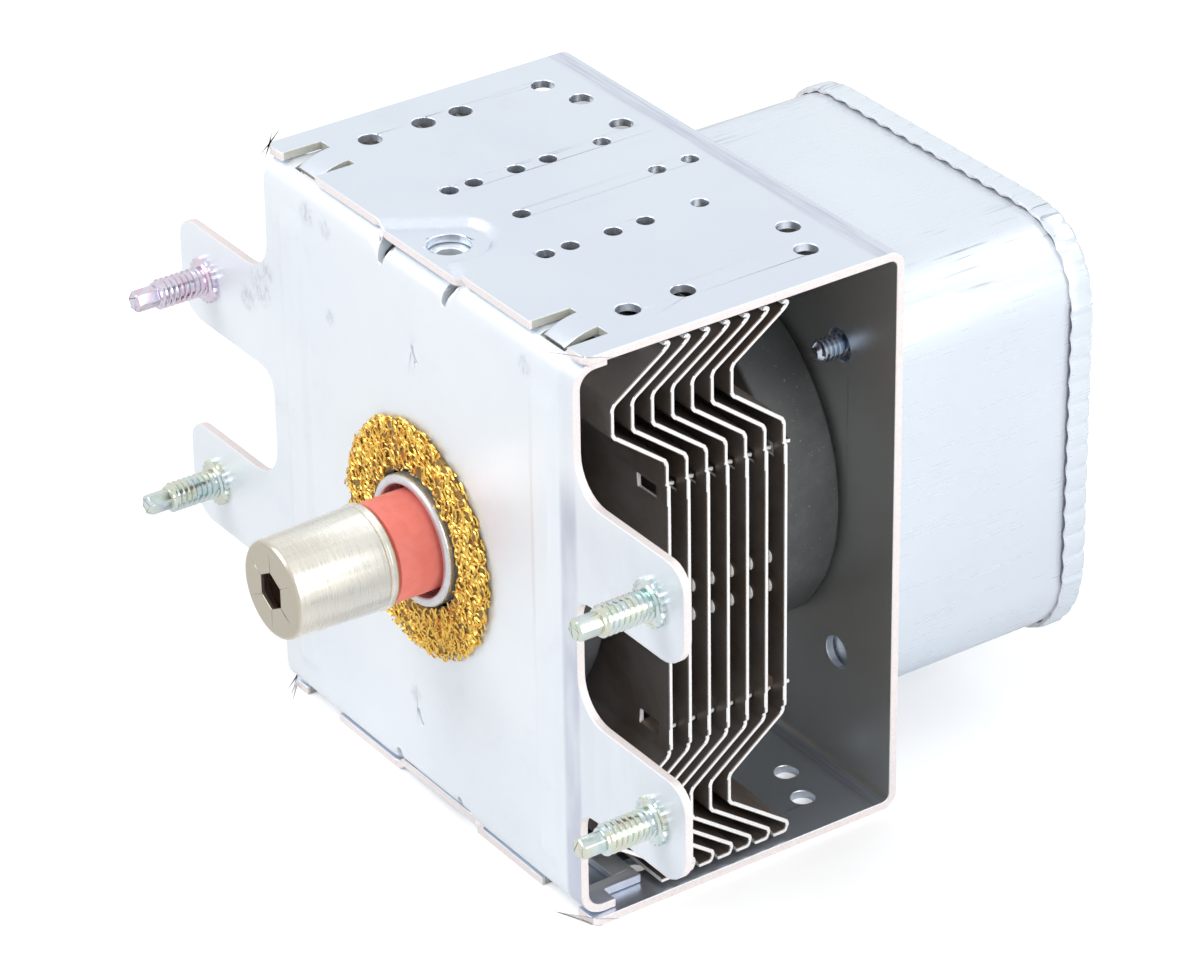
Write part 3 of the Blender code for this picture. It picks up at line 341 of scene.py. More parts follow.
def mapped(tree, scale=(1, 1, 1), rotation=(0, 0, 0)):
    """Object coordinates, stretched and turned."""
    place = add(tree, "ShaderNodeTexCoord")
    mapping = add(tree, "ShaderNodeMapping")
    mapping.inputs["Scale"].default_value = scale
    mapping.inputs["Rotation"].default_value = rotation
    tree.links.new(place.outputs["Object"], mapping.inputs["Vector"])
    return mapping.outputs["Vector"]


def group(name, inputs, outputs):
    tree = bpy.data.node_groups.new(name, "ShaderNodeTree")
    for label, kind, default in inputs:
        socket = tree.interface.new_socket(label, in_out="INPUT", socket_type=kind)
        socket.default_value = default
    for label, kind in outputs:
        tree.interface.new_socket(label, in_out="OUTPUT", socket_type=kind)
    return tree, add(tree, "NodeGroupInput"), add(tree, "NodeGroupOutput")


def smudge_group():
    """Soft handling marks and fine dust: a mask that is 0 on clean metal and near 1 in a mark."""
    tree, inside, out = group(
        "handling_marks",
        (("Vector", "NodeSocketVector", (0, 0, 0)), ("Amount", "NodeSocketFloat", 0.5)),
        (("Mask", "NodeSocketFloat"), ("Grain", "NodeSocketFloat")),
    )
    broad = noise_node(tree, inside.outputs["Vector"], 55, 4, 0.6, 0.6)
    fine = noise_node(tree, inside.outputs["Vector"], 420, 5, 0.7)
    marks = remap(tree, broad.outputs["Fac"], 0.50, 0.72, 0, 1)
    specks = remap(tree, fine.outputs["Fac"], 0.45, 0.75, 0.25, 1)
    both = add(tree, "ShaderNodeMath", operation="MULTIPLY")
    tree.links.new(marks, both.inputs[0])
    tree.links.new(specks, both.inputs[1])
    much = add(tree, "ShaderNodeMath", operation="MULTIPLY", use_clamp=True)
    tree.links.new(both.outputs[0], much.inputs[0])
    tree.links.new(inside.outputs["Amount"], much.inputs[1])
    tree.links.new(much.outputs[0], out.inputs["Mask"])
    tree.links.new(fine.outputs["Fac"], out.inputs["Grain"])
    return tree


def use_group(tree, inner, **values):
    node = add(tree, "ShaderNodeGroup", node_tree=inner)
    for name, value in values.items():
        socket = node.inputs[name]
        if isinstance(value, bpy.types.NodeSocket):
            tree.links.new(value, socket)
        else:
            socket.default_value = value
    return node


def bumped(tree, shader, height, distance, strength=1.0):
    bump = add(tree, "ShaderNodeBump")
    bump.inputs["Distance"].default_value = distance * MM
    bump.inputs["Strength"].default_value = strength
    tree.links.new(height, bump.inputs["Height"])
    tree.links.new(bump.outputs["Normal"], shader.inputs["Normal"])


def times(tree, *values):
    """The product of several masks."""
    result = values[0]
    for value in values[1:]:
        node = add(tree, "ShaderNodeMath", operation="MULTIPLY", use_clamp=True)
        for socket, item in zip(node.inputs, (result, value)):
            if isinstance(item, bpy.types.NodeSocket):
                tree.links.new(item, socket)
            else:
                socket.default_value = item
        result = node.outputs[0]
    return result


def spots_mask(tree, place, spots):
    """Near 1 inside any of a few soft round marks, each given by its centre and radius in millimetres."""
    result = None
    for centre, radius in spots:
        away = add(tree, "ShaderNodeVectorMath", operation="DISTANCE")
        tree.links.new(place, away.inputs[0])
        away.inputs[1].default_value = mm(*centre)
        mask = remap(tree, away.outputs["Value"], radius * 0.3 * MM, radius * MM, 1, 0)
        if result:
            most = add(tree, "ShaderNodeMath", operation="MAXIMUM")
            tree.links.new(result, most.inputs[0])
            tree.links.new(mask, most.inputs[1])
            mask = most.outputs[0]
        result = mask
    return result


def zinc(name, colour, metallic, marks=0.5, roughness=0.34, brush=(1, 1, 1), spots=(), scuff=None, painted_shade_strip=None,
         drawn=False,
         bump=0.0025):
    """Zinc-plated sheet: satin, faintly brushed, with soft handling marks. Its strip band is painted shade, and its
    drawn streaks are drawing scratches with painted shade.
    """
    mat, tree, shader = material(name, colour, metallic, roughness)
    place = mapped(tree)
    dirt = use_group(tree, GROUPS["marks"], Vector=place, Amount=marks)
    tint = noise_node(tree, place, 30, 3)
    shade = remap(tree, tint.outputs["Fac"], 0.35, 0.65, 0, 0.6)
    tone = mix(tree, shade, colour, tuple(c * f for c, f in zip(colour, (0.94, 0.95, 0.965))))
    tone = mix(tree, dirt.outputs["Mask"], tone, tuple(c * f for c, f in zip(colour, (0.80, 0.79, 0.82))))
    if spots:
        rough = noise_node(tree, mapped(tree, (1, 1, 0.45)), 1500, 4, 0.7, 0.4)
        worn = times(tree, spots_mask(tree, place, spots),
                     remap(tree, rough.outputs["Fac"], 0.42, 0.66, 0.15, 1))
        tone = mix(tree, worn, tone, tuple(c * f for c, f in zip(colour, (0.70, 0.70, 0.74))))
    parts = add(tree, "ShaderNodeSeparateXYZ")
    tree.links.new(place, parts.inputs[0])
    if scuff:
        a, b = scuff
        streak = noise_node(tree, mapped(tree, (0.05, 1, 1)), 1500, 3, 0.6)
        band = times(tree, remap(tree, parts.outputs["Y"], a * MM, (a + 1.2) * MM, 0, 1),
                     remap(tree, parts.outputs["Y"], (b - 0.6) * MM, b * MM, 1, 0),
                     remap(tree, streak.outputs["Fac"], 0.35, 0.62, 0.15, 0.8))
        tone = mix(tree, band, tone, tuple(c * f for c, f in zip(colour, (0.72, 0.70, 0.76))))
    # Painted shade: a cloudy band across X from a to b, darker and bluer, strongest below Z 57 mm; it stands for the
    # shade on the strip by the plate's right edge.
    if painted_shade_strip:
        a, b = painted_shade_strip
        cloud = noise_node(tree, mapped(tree, (1, 1, 0.3)), 160, 3, 0.6)
        band = times(tree, remap(tree, parts.outputs["X"], a * MM, (a + 0.9) * MM, 0, 1),
                     remap(tree, parts.outputs["X"], (b - 0.9) * MM, b * MM, 1, 0.3),
                     remap(tree, parts.outputs["Z"], 57 * MM, 66 * MM, 1, 0.25),
                     remap(tree, cloud.outputs["Fac"], 0.3, 0.65, 0.4, 1))
        tone = mix(tree, band, tone, tuple(c * f for c, f in zip(colour, (0.66, 0.66, 0.74))))
    # Dark streaks along Y towards the box's rounded corners: drawing scratches, and partly painted shade.
    if drawn:
        offset = add(tree, "ShaderNodeMath", operation="SUBTRACT")
        tree.links.new(parts.outputs["Z"], offset.inputs[0])
        offset.inputs[1].default_value = BOX_Z * MM
        near = []
        for socket, low, high in ((parts.outputs["X"], 14, 22), (offset.outputs[0], 24, 28.5)):
            size = add(tree, "ShaderNodeMath", operation="ABSOLUTE")
            tree.links.new(socket, size.inputs[0])
            near.append(remap(tree, size.outputs[0], low * MM, high * MM, 0, 1))
        lines = noise_node(tree, mapped(tree, (1, 0.035, 1)), 1300, 3, 0.7)
        patch = noise_node(tree, place, 60, 2)
        scratch_and_shade = times(tree, near[0], near[1], remap(tree, lines.outputs["Fac"], 0.56, 0.68, 0, 1),
                        remap(tree, patch.outputs["Fac"], 0.35, 0.6, 0.2, 1))
        tone = mix(tree, scratch_and_shade, tone, tuple(c * 0.42 for c in colour))
    tree.links.new(tone, shader.inputs["Base Color"])
    grain = noise_node(tree, mapped(tree, brush), 2600, 2, 0.5)
    tree.links.new(remap(tree, grain.outputs["Fac"], 0.3, 0.7, roughness - 0.03, roughness + 0.05),
                   shader.inputs["Roughness"])
    bumped(tree, shader, grain.outputs["Fac"], bump, 0.4)
    return mat


def sheared(name, colour, roughness=0.45):
    """The cut edge of a sheet: a little rough, in fine steps across it."""
    mat, tree, shader = material(name, colour, 0.15, roughness)
    grain = noise_node(tree, mapped(tree), 2600, 3, 0.6)
    tree.links.new(mix(tree, remap(tree, grain.outputs["Fac"], 0.35, 0.7, 0, 1), colour,
                       tuple(c * 0.92 for c in colour)), shader.inputs["Base Color"])
    bumped(tree, shader, grain.outputs["Fac"], 0.008, 0.4)
    return mat


def fin_sheet(name, colour):
    """Thin rolled sheet, heat-tinted to a dull brown grey."""
    mat, tree, shader = material(name, colour, 0.6, 0.42)
    place = mapped(tree)
    cloud = noise_node(tree, place, 70, 4, 0.6, 0.4)
    brown = tuple(c * f for c, f in zip(colour, (0.72, 0.62, 0.55)))
    tree.links.new(mix(tree, remap(tree, cloud.outputs["Fac"], 0.35, 0.65, 0, 1), colour, brown),
                   shader.inputs["Base Color"])
    grain = noise_node(tree, mapped(tree, (0.3, 1, 1)), 2200, 3)
    tree.links.new(remap(tree, grain.outputs["Fac"], 0.3, 0.7, 0.40, 0.50), shader.inputs["Roughness"])
    bumped(tree, shader, cloud.outputs["Fac"], 0.004, 0.3)
    return mat


def ferrite(name, colour):
    """Ground ferrite: dark grey, matt, with faint pores and pale dust."""
    mat, tree, shader = material(name, colour, 0.0, 0.5)
    place = mapped(tree)
    cloud = noise_node(tree, place, 90, 5, 0.65)
    pores = noise_node(tree, place, 1600, 4, 0.7)
    base = mix(tree, remap(tree, cloud.outputs["Fac"], 0.4, 0.7, 0, 1), colour, tuple(c * 1.7 for c in colour))
    tree.links.new(mix(tree, remap(tree, pores.outputs["Fac"], 0.62, 0.72, 0, 0.5), base, (0.3, 0.3, 0.3)),
                   shader.inputs["Base Color"])
    bumped(tree, shader, pores.outputs["Fac"], 0.04, 0.5)
    return mat


def turned_metal(name, colour, metallic=1.0, roughness=0.24, pitch=2600, bump=0.01, face=None):
    """Turned or drawn metal with fine rings around Y and faint streaks along it. Given a face place, it darkens and
    warms below that place along Y: painted shade.
    """
    mat, tree, shader = material(name, colour, metallic, roughness)
    rings = noise_node(tree, mapped(tree, (0.02, 1, 0.02)), pitch, 2)
    streaks = noise_node(tree, mapped(tree, (1, 0.04, 1)), 500, 3)
    shade = mix(tree, remap(tree, streaks.outputs["Fac"], 0.35, 0.65, 0, 1), colour,
                tuple(c * 0.86 for c in colour))
    # Painted shade: the colour darkens and warms below the face place along Y, for the shaded end face of the cap.
    if face is not None:
        parts = add(tree, "ShaderNodeSeparateXYZ")
        tree.links.new(mapped(tree), parts.inputs[0])
        dull = remap(tree, parts.outputs["Y"], face * MM, (face + 0.9) * MM, 1, 0)
        shade = mix(tree, dull, shade, tuple(c * f for c, f in zip(colour, (0.62, 0.60, 0.55))))
    tree.links.new(shade, shader.inputs["Base Color"])
    tree.links.new(remap(tree, rings.outputs["Fac"], 0.3, 0.7, roughness - 0.05, roughness + 0.1),
                   shader.inputs["Roughness"])
    bumped(tree, shader, rings.outputs["Fac"], bump, 0.4)
    return mat


def stud_finish(name, colour, tints):
    """Bright zinc with the faint colours of its passivation."""
    mat, tree, shader = material(name, colour, 1.0, 0.2)
    place = mapped(tree)
    cloud = noise_node(tree, place, 260, 2, 0.5, 1.0)
    ramp = add(tree, "ShaderNodeValToRGB")
    first, last = ramp.color_ramp.elements
    first.position, first.color = 0.32, (*tints[0], 1)
    last.position, last.color = 0.68, (*tints[-1], 1)
    for k, tone in enumerate(tints[1:-1]):
        ramp.color_ramp.elements.new(0.32 + 0.36 * (k + 1) / (len(tints) - 1)).color = (*tone, 1)
    tree.links.new(cloud.outputs["Fac"], ramp.inputs["Fac"])
    tree.links.new(mix(tree, 0.65, colour, ramp.outputs["Color"]), shader.inputs["Base Color"])
    grain = noise_node(tree, place, 2500, 2)
    bumped(tree, shader, grain.outputs["Fac"], 0.008, 0.4)
    return mat


def ceramic(name, colour):
    """Dense fired ceramic, matt with a faint sheen and fine mottling."""
    mat, tree, shader = material(name, colour, 0.0, 0.42)
    place = mapped(tree)
    mottle = noise_node(tree, place, 500, 4, 0.6)
    tree.links.new(mix(tree, remap(tree, mottle.outputs["Fac"], 0.35, 0.7, 0, 1), colour,
                       tuple(c * f for c, f in zip(colour, (0.93, 0.86, 0.86)))), shader.inputs["Base Color"])
    bumped(tree, shader, mottle.outputs["Fac"], 0.01, 0.3)
    return mat


def plain_grain(name, colour, metallic, roughness, scale=700):
    """A quiet finish for pieces that are nearly hidden: grain in its colour and bump."""
    mat, tree, shader = material(name, colour, metallic, roughness)
    grain = noise_node(tree, mapped(tree), scale, 4, 0.6)
    tree.links.new(mix(tree, remap(tree, grain.outputs["Fac"], 0.35, 0.65, 0, 1), colour,
                       tuple(c * 0.8 for c in colour)), shader.inputs["Base Color"])
    bumped(tree, shader, grain.outputs["Fac"], 0.02, 0.4)
    return mat


GROUPS = {}
FINISH = {}


def make_finishes(looks):
    GROUPS["marks"] = smudge_group()
    c = {key: tuple(getattr(looks, key)) for key in looks.__annotations__}
    FINISH["yoke"] = zinc("zinc_yoke", c["yoke"], 0.88, 0.3, scuff=(18.8, 21.9))
    rubbed = (((-24.1, PLATE_FACE, 74.9), 2.2), ((-19.7, PLATE_FACE, 74.6), 1.8),
              ((-19.4, PLATE_FACE, 62.3), 1.5),
              ((24.3, PLATE_FACE, 74.8), 1.8), ((-36.2, PLATE_FACE, 59.4), 3.4), ((-39.5, PLATE_FACE, 56.6),
                                                                                  2.6),
              ((-34.4, PLATE_FACE, 62.4), 2.0), ((36.0, PLATE_FACE, 46.2), 2.0), ((-2.5, PLATE_FACE, 15.5),
                                                                                  1.6))
    # The strip band on the plate, X 30.8 to 35.0 mm, is painted shade.
    FINISH["plate"] = zinc("zinc_front_plate", c["plate"], 0.45, 0.3, 0.42, spots=rubbed, painted_shade_strip=(30.8, 35.0))
    # The box's drawn streaks are drawing scratches with painted shade.
    FINISH["box"] = zinc("zinc_filter_box", c["box"], 0.5, 0.04, 0.3, (1, 0.03, 1), drawn=True, bump=0.0005)
    # Painted shade: a darker, warmer copy of the yoke zinc for the inner back wall.
    FINISH["yoke_inner"] = zinc("zinc_yoke_inner", tuple(v * f for v, f in zip(c["yoke"], (0.95, 0.90, 0.80))),
                                0.88, 0.2,
                                0.36)
    FINISH["shell"] = turned_metal("drawn_shell", (0.72, 0.74, 0.78), 0.8, 0.3)
    FINISH["cut"] = sheared("sheared_sheet", (0.34, 0.29, 0.26))
    # Partly painted light: a near-white copy of the cut edge for outer rims; its pink tone is the edge's own, its
    # near-whiteness is painted light.
    FINISH["cut_pale"] = sheared("sheared_sheet_pale", (0.93, 0.86, 0.85), 0.4)
    # Painted shade: a grey copy of the cut edge for the walls of the flange slots.
    FINISH["cut_grey"] = sheared("sheared_sheet_grey", (0.52, 0.52, 0.46), 0.4)
    FINISH["fin"] = fin_sheet("fin_sheet", tuple(v * 0.72 for v in c["fin"]))
    FINISH["fin_edge"] = sheared("fin_cut_edge", (0.97, 0.965, 0.96), 0.4)
    FINISH["ferrite"] = ferrite("ground_ferrite", tuple(v * 0.8 for v in c["ferrite"]))
    FINISH["stud"] = stud_finish("stud_zinc_green", (0.66, 0.70, 0.71),
                                 ((0.42, 0.62, 0.58), (0.66, 0.72, 0.74), (0.60, 0.70, 0.56),
                                  (0.70, 0.66, 0.50)))
    FINISH["stud_violet"] = stud_finish("stud_zinc_violet", (0.68, 0.66, 0.72),
                                        ((0.56, 0.46, 0.70), (0.72, 0.70, 0.78), (0.74, 0.52, 0.66),
                                         (0.60, 0.70, 0.76)))
    FINISH["screw"] = stud_finish("screw_zinc_blue", (0.52, 0.58, 0.68),
                                  ((0.42, 0.52, 0.68), (0.60, 0.66, 0.76), (0.50, 0.56, 0.70),
                                   (0.66, 0.68, 0.70)))
    # The cap's end face, below PLATE_FACE - 21.9 mm along Y, gets painted shade.
    FINISH["cap"] = turned_metal("antenna_nickel", c["cap"], 0.9, 0.26, face=PLATE_FACE - 21.9)
    FINISH["ceramic"] = ceramic("coral_ceramic", c["ceramic"])
    FINISH["mesh"] = turned_metal("knitted_brass", c["mesh"], 0.9, 0.3, 3000)
    # Painted shade: the dark core seen through the gaps of the knitted gasket.
    FINISH["mesh_base"] = plain_grain("mesh_shadow", (0.34, 0.21, 0.07), 0.5, 0.6, 900)
    FINISH["copper"] = plain_grain("bare_copper", (0.50, 0.30, 0.21), 0.9, 0.35)
    FINISH["iron"] = plain_grain("soft_iron", (0.42, 0.42, 0.43), 0.8, 0.45)
    FINISH["plastic"] = plain_grain("black_moulding", (0.03, 0.03, 0.033), 0.0, 0.45)
    FINISH["tin"] = turned_metal("tinned_brass", (0.74, 0.70, 0.58), 0.9, 0.28)


# Pieces.


def seat_depth(x, y):
    """How far the flange is pressed down around its screw hole, in millimetres."""
    if x > 9.0:
        return 0.0
    q = Vector((x, y))
    best = 99.0
    for a, ra, b, rb in (((-9.4, -24.6), 0.2, (0.0, SEAT_Y), 5.7), ((3.0, -24.0), 2.6, (9.4, -24.4), 1.3)):
        a, b = Vector(a), Vector(b)
        t = min(1.0, max(0.0, (q - a).dot(b - a) / (b - a).length_squared))
        t = min(1.0, max(0.0, t))
        best = min(best, (q - a.lerp(b, t)).length - (ra + (rb - ra) * t))
    return min(1.0, max(0.0, (0.9 - best) / 1.5)) ** 2


def yoke_sheet():
    """The bent U of the yoke with its pressed seats, staked tabs and holes."""
    bm = bmesh.new()
    edges = wire(bm, [(-HALF_W, FRONT, HIGH), (-HALF_W, BACK, HIGH), (-HALF_W, BACK, 0), (-HALF_W, FRONT, 0)],
                 [0, YOKE_BEND, YOKE_BEND, 0], 7)
    pull(bm, edges, mm(2 * HALF_W, 0, 0))
    slots = [s * x for s in (-1, 1) for x in SLOT_IN + SLOT_OUT]
    corners = [s * x for s in (-1, 1) for x in (33.95, 34.35, 34.7, 34.95)]
    grid(bm, xs=span(-12, 8.94, 0.45) + [9.06] + slots + corners + [s * x for s in (-1, 1) for x in (25.5,
                                                                                                     28.9)],
         ys=span(FRONT + 0.4, -11.5, 0.4) + [SLOT_END, TAB_FRONT, FRONT + 0.2])
    gone = []
    for face in bm.faces:
        c = face.calc_center_median() / MM
        side = abs(c.x)
        in_slot = SLOT_IN[0] < side < SLOT_IN[1] or SLOT_OUT[0] < side < SLOT_OUT[1]
        if (in_slot and c.y < SLOT_END) or (SLOT_IN[1] < side < SLOT_OUT[0] and c.y < TAB_FRONT):
            gone.append(face)
    bmesh.ops.delete(bm, geom=gone, context="FACES")
    for v in bm.verts:
        x, y, z = v.co / MM
        if 1 < z < HIGH - 1:
            continue
        way = -1 if z > 40 else 1
        drop = seat_depth(x, y)
        if SLOT_IN[1] - 0.01 < abs(x) < SLOT_OUT[0] + 0.01 and y < SLOT_END - 0.2:
            along = min(1.0, (SLOT_END - 0.2 - y) / (SLOT_END - 0.2 - TAB_FRONT))
            drop = 1.1 * along ** 2.2 + 0.35 * along * (abs(abs(x) - 27.2) / 2.2) ** 3
        v.co.z += way * drop * MM
        turn = Vector((abs(x) - (HALF_W - 1.2), FRONT + 1.2 - y))
        if turn.x > 0 and turn.y > 0 and turn.length > 1.2:
            turn = turn.normalized() * 1.2
            v.co.x = math.copysign(HALF_W - 1.2 + turn.x, x) * MM
            v.co.y = (FRONT + 1.2 - turn.y) * MM
    bmesh.ops.recalc_face_normals(bm, faces=bm.faces)
    top = max(bm.faces, key=lambda f: f.calc_center_median().z)
    if top.normal.z < 0:
        bmesh.ops.reverse_faces(bm, faces=bm.faces)
    obj = keep(bm, "yoke_sheet", FINISH["yoke"], FINISH["cut_pale"], FINISH["cut_grey"], FINISH["yoke_inner"],
               outward=False)
    thicken(obj, SHEET, 1)
    for face in obj.data.polygons:
        x, y = abs(face.center.x) / MM, face.center.y / MM
        # Rim faces in the slots take the grey copy of the cut edge: painted shade.
        if face.material_index == 1 and SLOT_IN[0] - 0.05 < x < SLOT_OUT[1] + 0.05 and y > FRONT + 0.3:
            face.material_index = 2
        # Faces of the inner back wall take the darker copy of the yoke zinc: painted shade.
        elif face.material_index == 0 and face.normal.y < -0.5 and y > BACK - SHEET - 0.5:
            face.material_index = 3
    tool = bmesh.new()
    for x, y in BIG_HOLES:
        cylinder_into(tool, BIG_HOLE_R, (x, y, -2), (x, y, HIGH + 2))
    for x, y in SMALL_HOLES:
        cylinder_into(tool, SMALL_HOLE_R, (x, y, -2), (x, y, HIGH + 2), 24)
    cylinder_into(tool, SEAT_HOLE_R, (0, SEAT_Y, -2), (0, SEAT_Y, HIGH + 2), 48)
    cylinder_into(tool, STEM_HOLE_R, (0, BACK - 4, AXIS_Z), (0, BACK + 3, AXIS_Z), 64)
    for x in (-SCREW_X, SCREW_X):
        for z in (BOX_Z - SCREW_RISE, BOX_Z + SCREW_RISE):
            cylinder_into(tool, SCREW_HOLE_R, (x, BACK - 4, z), (x, BACK + 3, z), 28)
    carve(obj, [keep(tool, "cut_yoke_holes", FINISH["cut"])])
    ease(obj, 0.11, 2)
    ride(obj, "zinc_plate", "yoke_channel")
    return obj


def ear_outline():
    """The flat of the front plate with its four ears, as points and the radius of each corner."""
    right, radii = [(PLATE_HALF, PLATE_LOW)], [0]
    for z in EAR_Z:
        right += [(PLATE_HALF, z - 7), (EAR_TIP, z - 7), (EAR_TIP, z + 7), (PLATE_HALF, z + 7)]
        radii += [3.0, 4.6, 3.4, 5.2]
    right.append((PLATE_HALF, PLATE_HIGH))
    radii.append(0)
    points = right + [(-x, z) for x, z in right[::-1]]
    return [(x, PLATE_FACE, z) for x, z in points], radii + radii[::-1]


def plate_relief(x, z):
    """How far the pressed ribs stand forward of the flat, in millimetres."""
    side = abs(x)
    across = rise((3.1 - abs(side - 28.0)) / 1.6)
    along = rise((z - 5.6) / 3.2) * rise((74.4 - z) / 3.2)
    return 0.7 * across * along


def plate_sheet():
    """The pan that closes the yoke: ribs, four ears, two lowered seats and its relief slots."""
    bm = bmesh.new()
    points, radii = ear_outline()
    edges = wire(bm, points, radii, 8, closed=True)
    bmesh.ops.contextual_create(bm, geom=edges)
    dips = span(-12.6, 11.4, 0.8)
    ribs = [s * x for s in (-1, 1) for x in span(24.8, 31.2, 0.4)]
    grid(bm, xs=dips + ribs, zs=span(5.4, 9.0, 0.6) + span(71.0, 74.6, 0.6) + [18, 32, 48, 62])
    for way, start in ((1, PLATE_HIGH), (-1, PLATE_LOW)):
        row = [e for e in bm.edges if all(abs(v.co.z - start * MM) < 1e-6 for v in e.verts)]
        spots = [(PLATE_BEND * (1 - math.cos(a)),
                  PLATE_BEND * math.sin(a)) for a in (math.pi / 2 * k / 7 for k in range(1, 8))]
        spots += [(y, PLATE_BEND) for y in (3.9, 4.9, 6.3, 7.7, 10.7)]
        before = (0.0, 0.0)
        for y, z in spots:
            row = pull(bm, row, mm(0, y - before[0], way * (z - before[1])))
            row = [e for e in row if abs((e.verts[0].co - e.verts[1].co).x) > 1e-7 and
                   abs(e.verts[0].co.z - e.verts[1].co.z) < 1e-7 and abs(e.verts[0].co.y - e.verts[1].co.y) < 1e-7]
            before = (y, z)
    for v in bm.verts:
        x, y, z = v.co / MM
        if abs(y - PLATE_FACE) < 1e-3 and abs(x) < PLATE_HALF:
            v.co.y -= plate_relief(x, z) * MM
        for way, start in ((1, PLATE_HIGH), (-1, PLATE_LOW)):
            up = way * (z - start)
            if up > 0.05:
                v.co.z -= way * 1.1 * seat_depth(x, max(y, FRONT)) * min(1.0, up / PLATE_BEND) * MM
    bmesh.ops.recalc_face_normals(bm, faces=bm.faces)
    flat = min(bm.faces, key=lambda f: f.calc_center_median().y)
    if flat.normal.y > 0:
        bmesh.ops.reverse_faces(bm, faces=bm.faces)
    obj = keep(bm, "front_pan", FINISH["plate"], FINISH["cut_pale"], outward=False)
    thicken(obj, SHEET, 1)
    tool = bmesh.new()
    cylinder_into(tool, 9.3, (0, PLATE_FACE - 4, AXIS_Z), (0, PLATE_FACE + 5, AXIS_Z), 96)
    for x in (-STUD_X, STUD_X):
        for z in EAR_Z:
            cylinder_into(tool, 2.3, (x, PLATE_FACE - 4, z), (x, PLATE_FACE + 5, z))
    for side in (1, -1):
        face = HIGH if side > 0 else 0.0
        cylinder_into(tool, 1.7, (0, SEAT_Y, face + side), (0, SEAT_Y, face - side * 6), 28)
        for s in (-1, 1):
            a, b = sorted((s * 24.6, s * 29.8))
            low, high = sorted((face - side * 3.4, face + side * 2))
            cuboid_into(tool, (a, TAB_FRONT - 0.2, low), (b, -17.0, high))
            a, b = sorted((s * 31.7, s * 36.0))
            cuboid_into(tool, (a, -19.6, low), (b, -12.0, high))
    carve(obj, [keep(tool, "cut_pan_holes", FINISH["cut"])])
    for side in (1, -1):
        face = HIGH if side > 0 else 0.0
        for bow in (((-8.9, 1.4), (-6.0, 1.5), (-6.25, 2.9), (-6.6, 4.9), (-7.5, 4.9), (-8.3, 3.1)),
                    ((6.0, 1.5), (7.8, 1.3), (7.55, 2.9), (7.45, 4.8), (6.6, 4.8), (6.05, 3.2))):
            cut = bmesh.new()
            slab_into(cut, [(x, PLATE_FACE - 2, face - side * d) for x, d in bow], (0, 5.0, 0),
                      [0.2, 0.2, 1.2, 0.38, 0.38, 1.2], 4)
            carve(obj, [keep(cut, "cut_relief", FINISH["cut"])])
    for x, z in ((0.0, 65.6), (-1.45, 12.5)):
        cut = bmesh.new()
        bow = [(-0.75, 1.05), (-0.2, 1.05), (-0.1, 0.1), (0.75, -0.95), (0.3, -1.2), (-0.62, -0.05)]
        slab_into(cut, [(x + u, PLATE_FACE - 1, z + v) for u, v in bow], (0, 1.55, 0),
                  [0.2, 0.2, 0.8, 0.2, 0.2, 0.8], 4)
        carve(obj, [keep(cut, "cut_lance", FINISH["cut"])])
    ease(obj, 0.12, 2)
    ride(obj, "zinc_plate", "front_plate")
    return obj


def stud_places():
    return [(x, z) for x in (-STUD_X, STUD_X) for z in EAR_Z]


def thread_into(bm, x, z, start, end, root, crest, pitch, sides=26):
    """A screw thread around an axis along Y: one tooth, drawn round in a helix."""
    part = bmesh.new()
    turns = abs(end - start) / pitch
    way = 1 if end > start else -1
    tooth = [(root - 0.12, -0.46), (crest, -0.09), (crest, 0.09), (root - 0.12, 0.46)]
    edges = wire(part, [(x + r, start + w * pitch, z) for r, w in tooth], closed=True)
    bmesh.ops.contextual_create(part, geom=edges)
    steps = round(turns * sides)
    bmesh.ops.spin(
        part, geom=list(part.verts) + list(part.edges) + list(part.faces), cent=mm(x, 0, z), axis=(0, 1, 0),
        dvec=mm(0, way * pitch / sides, 0), angle=math.tau * turns, steps=steps, use_merge=False,
    )
    bmesh.ops.recalc_face_normals(part, faces=part.faces)
    join(bm, part)


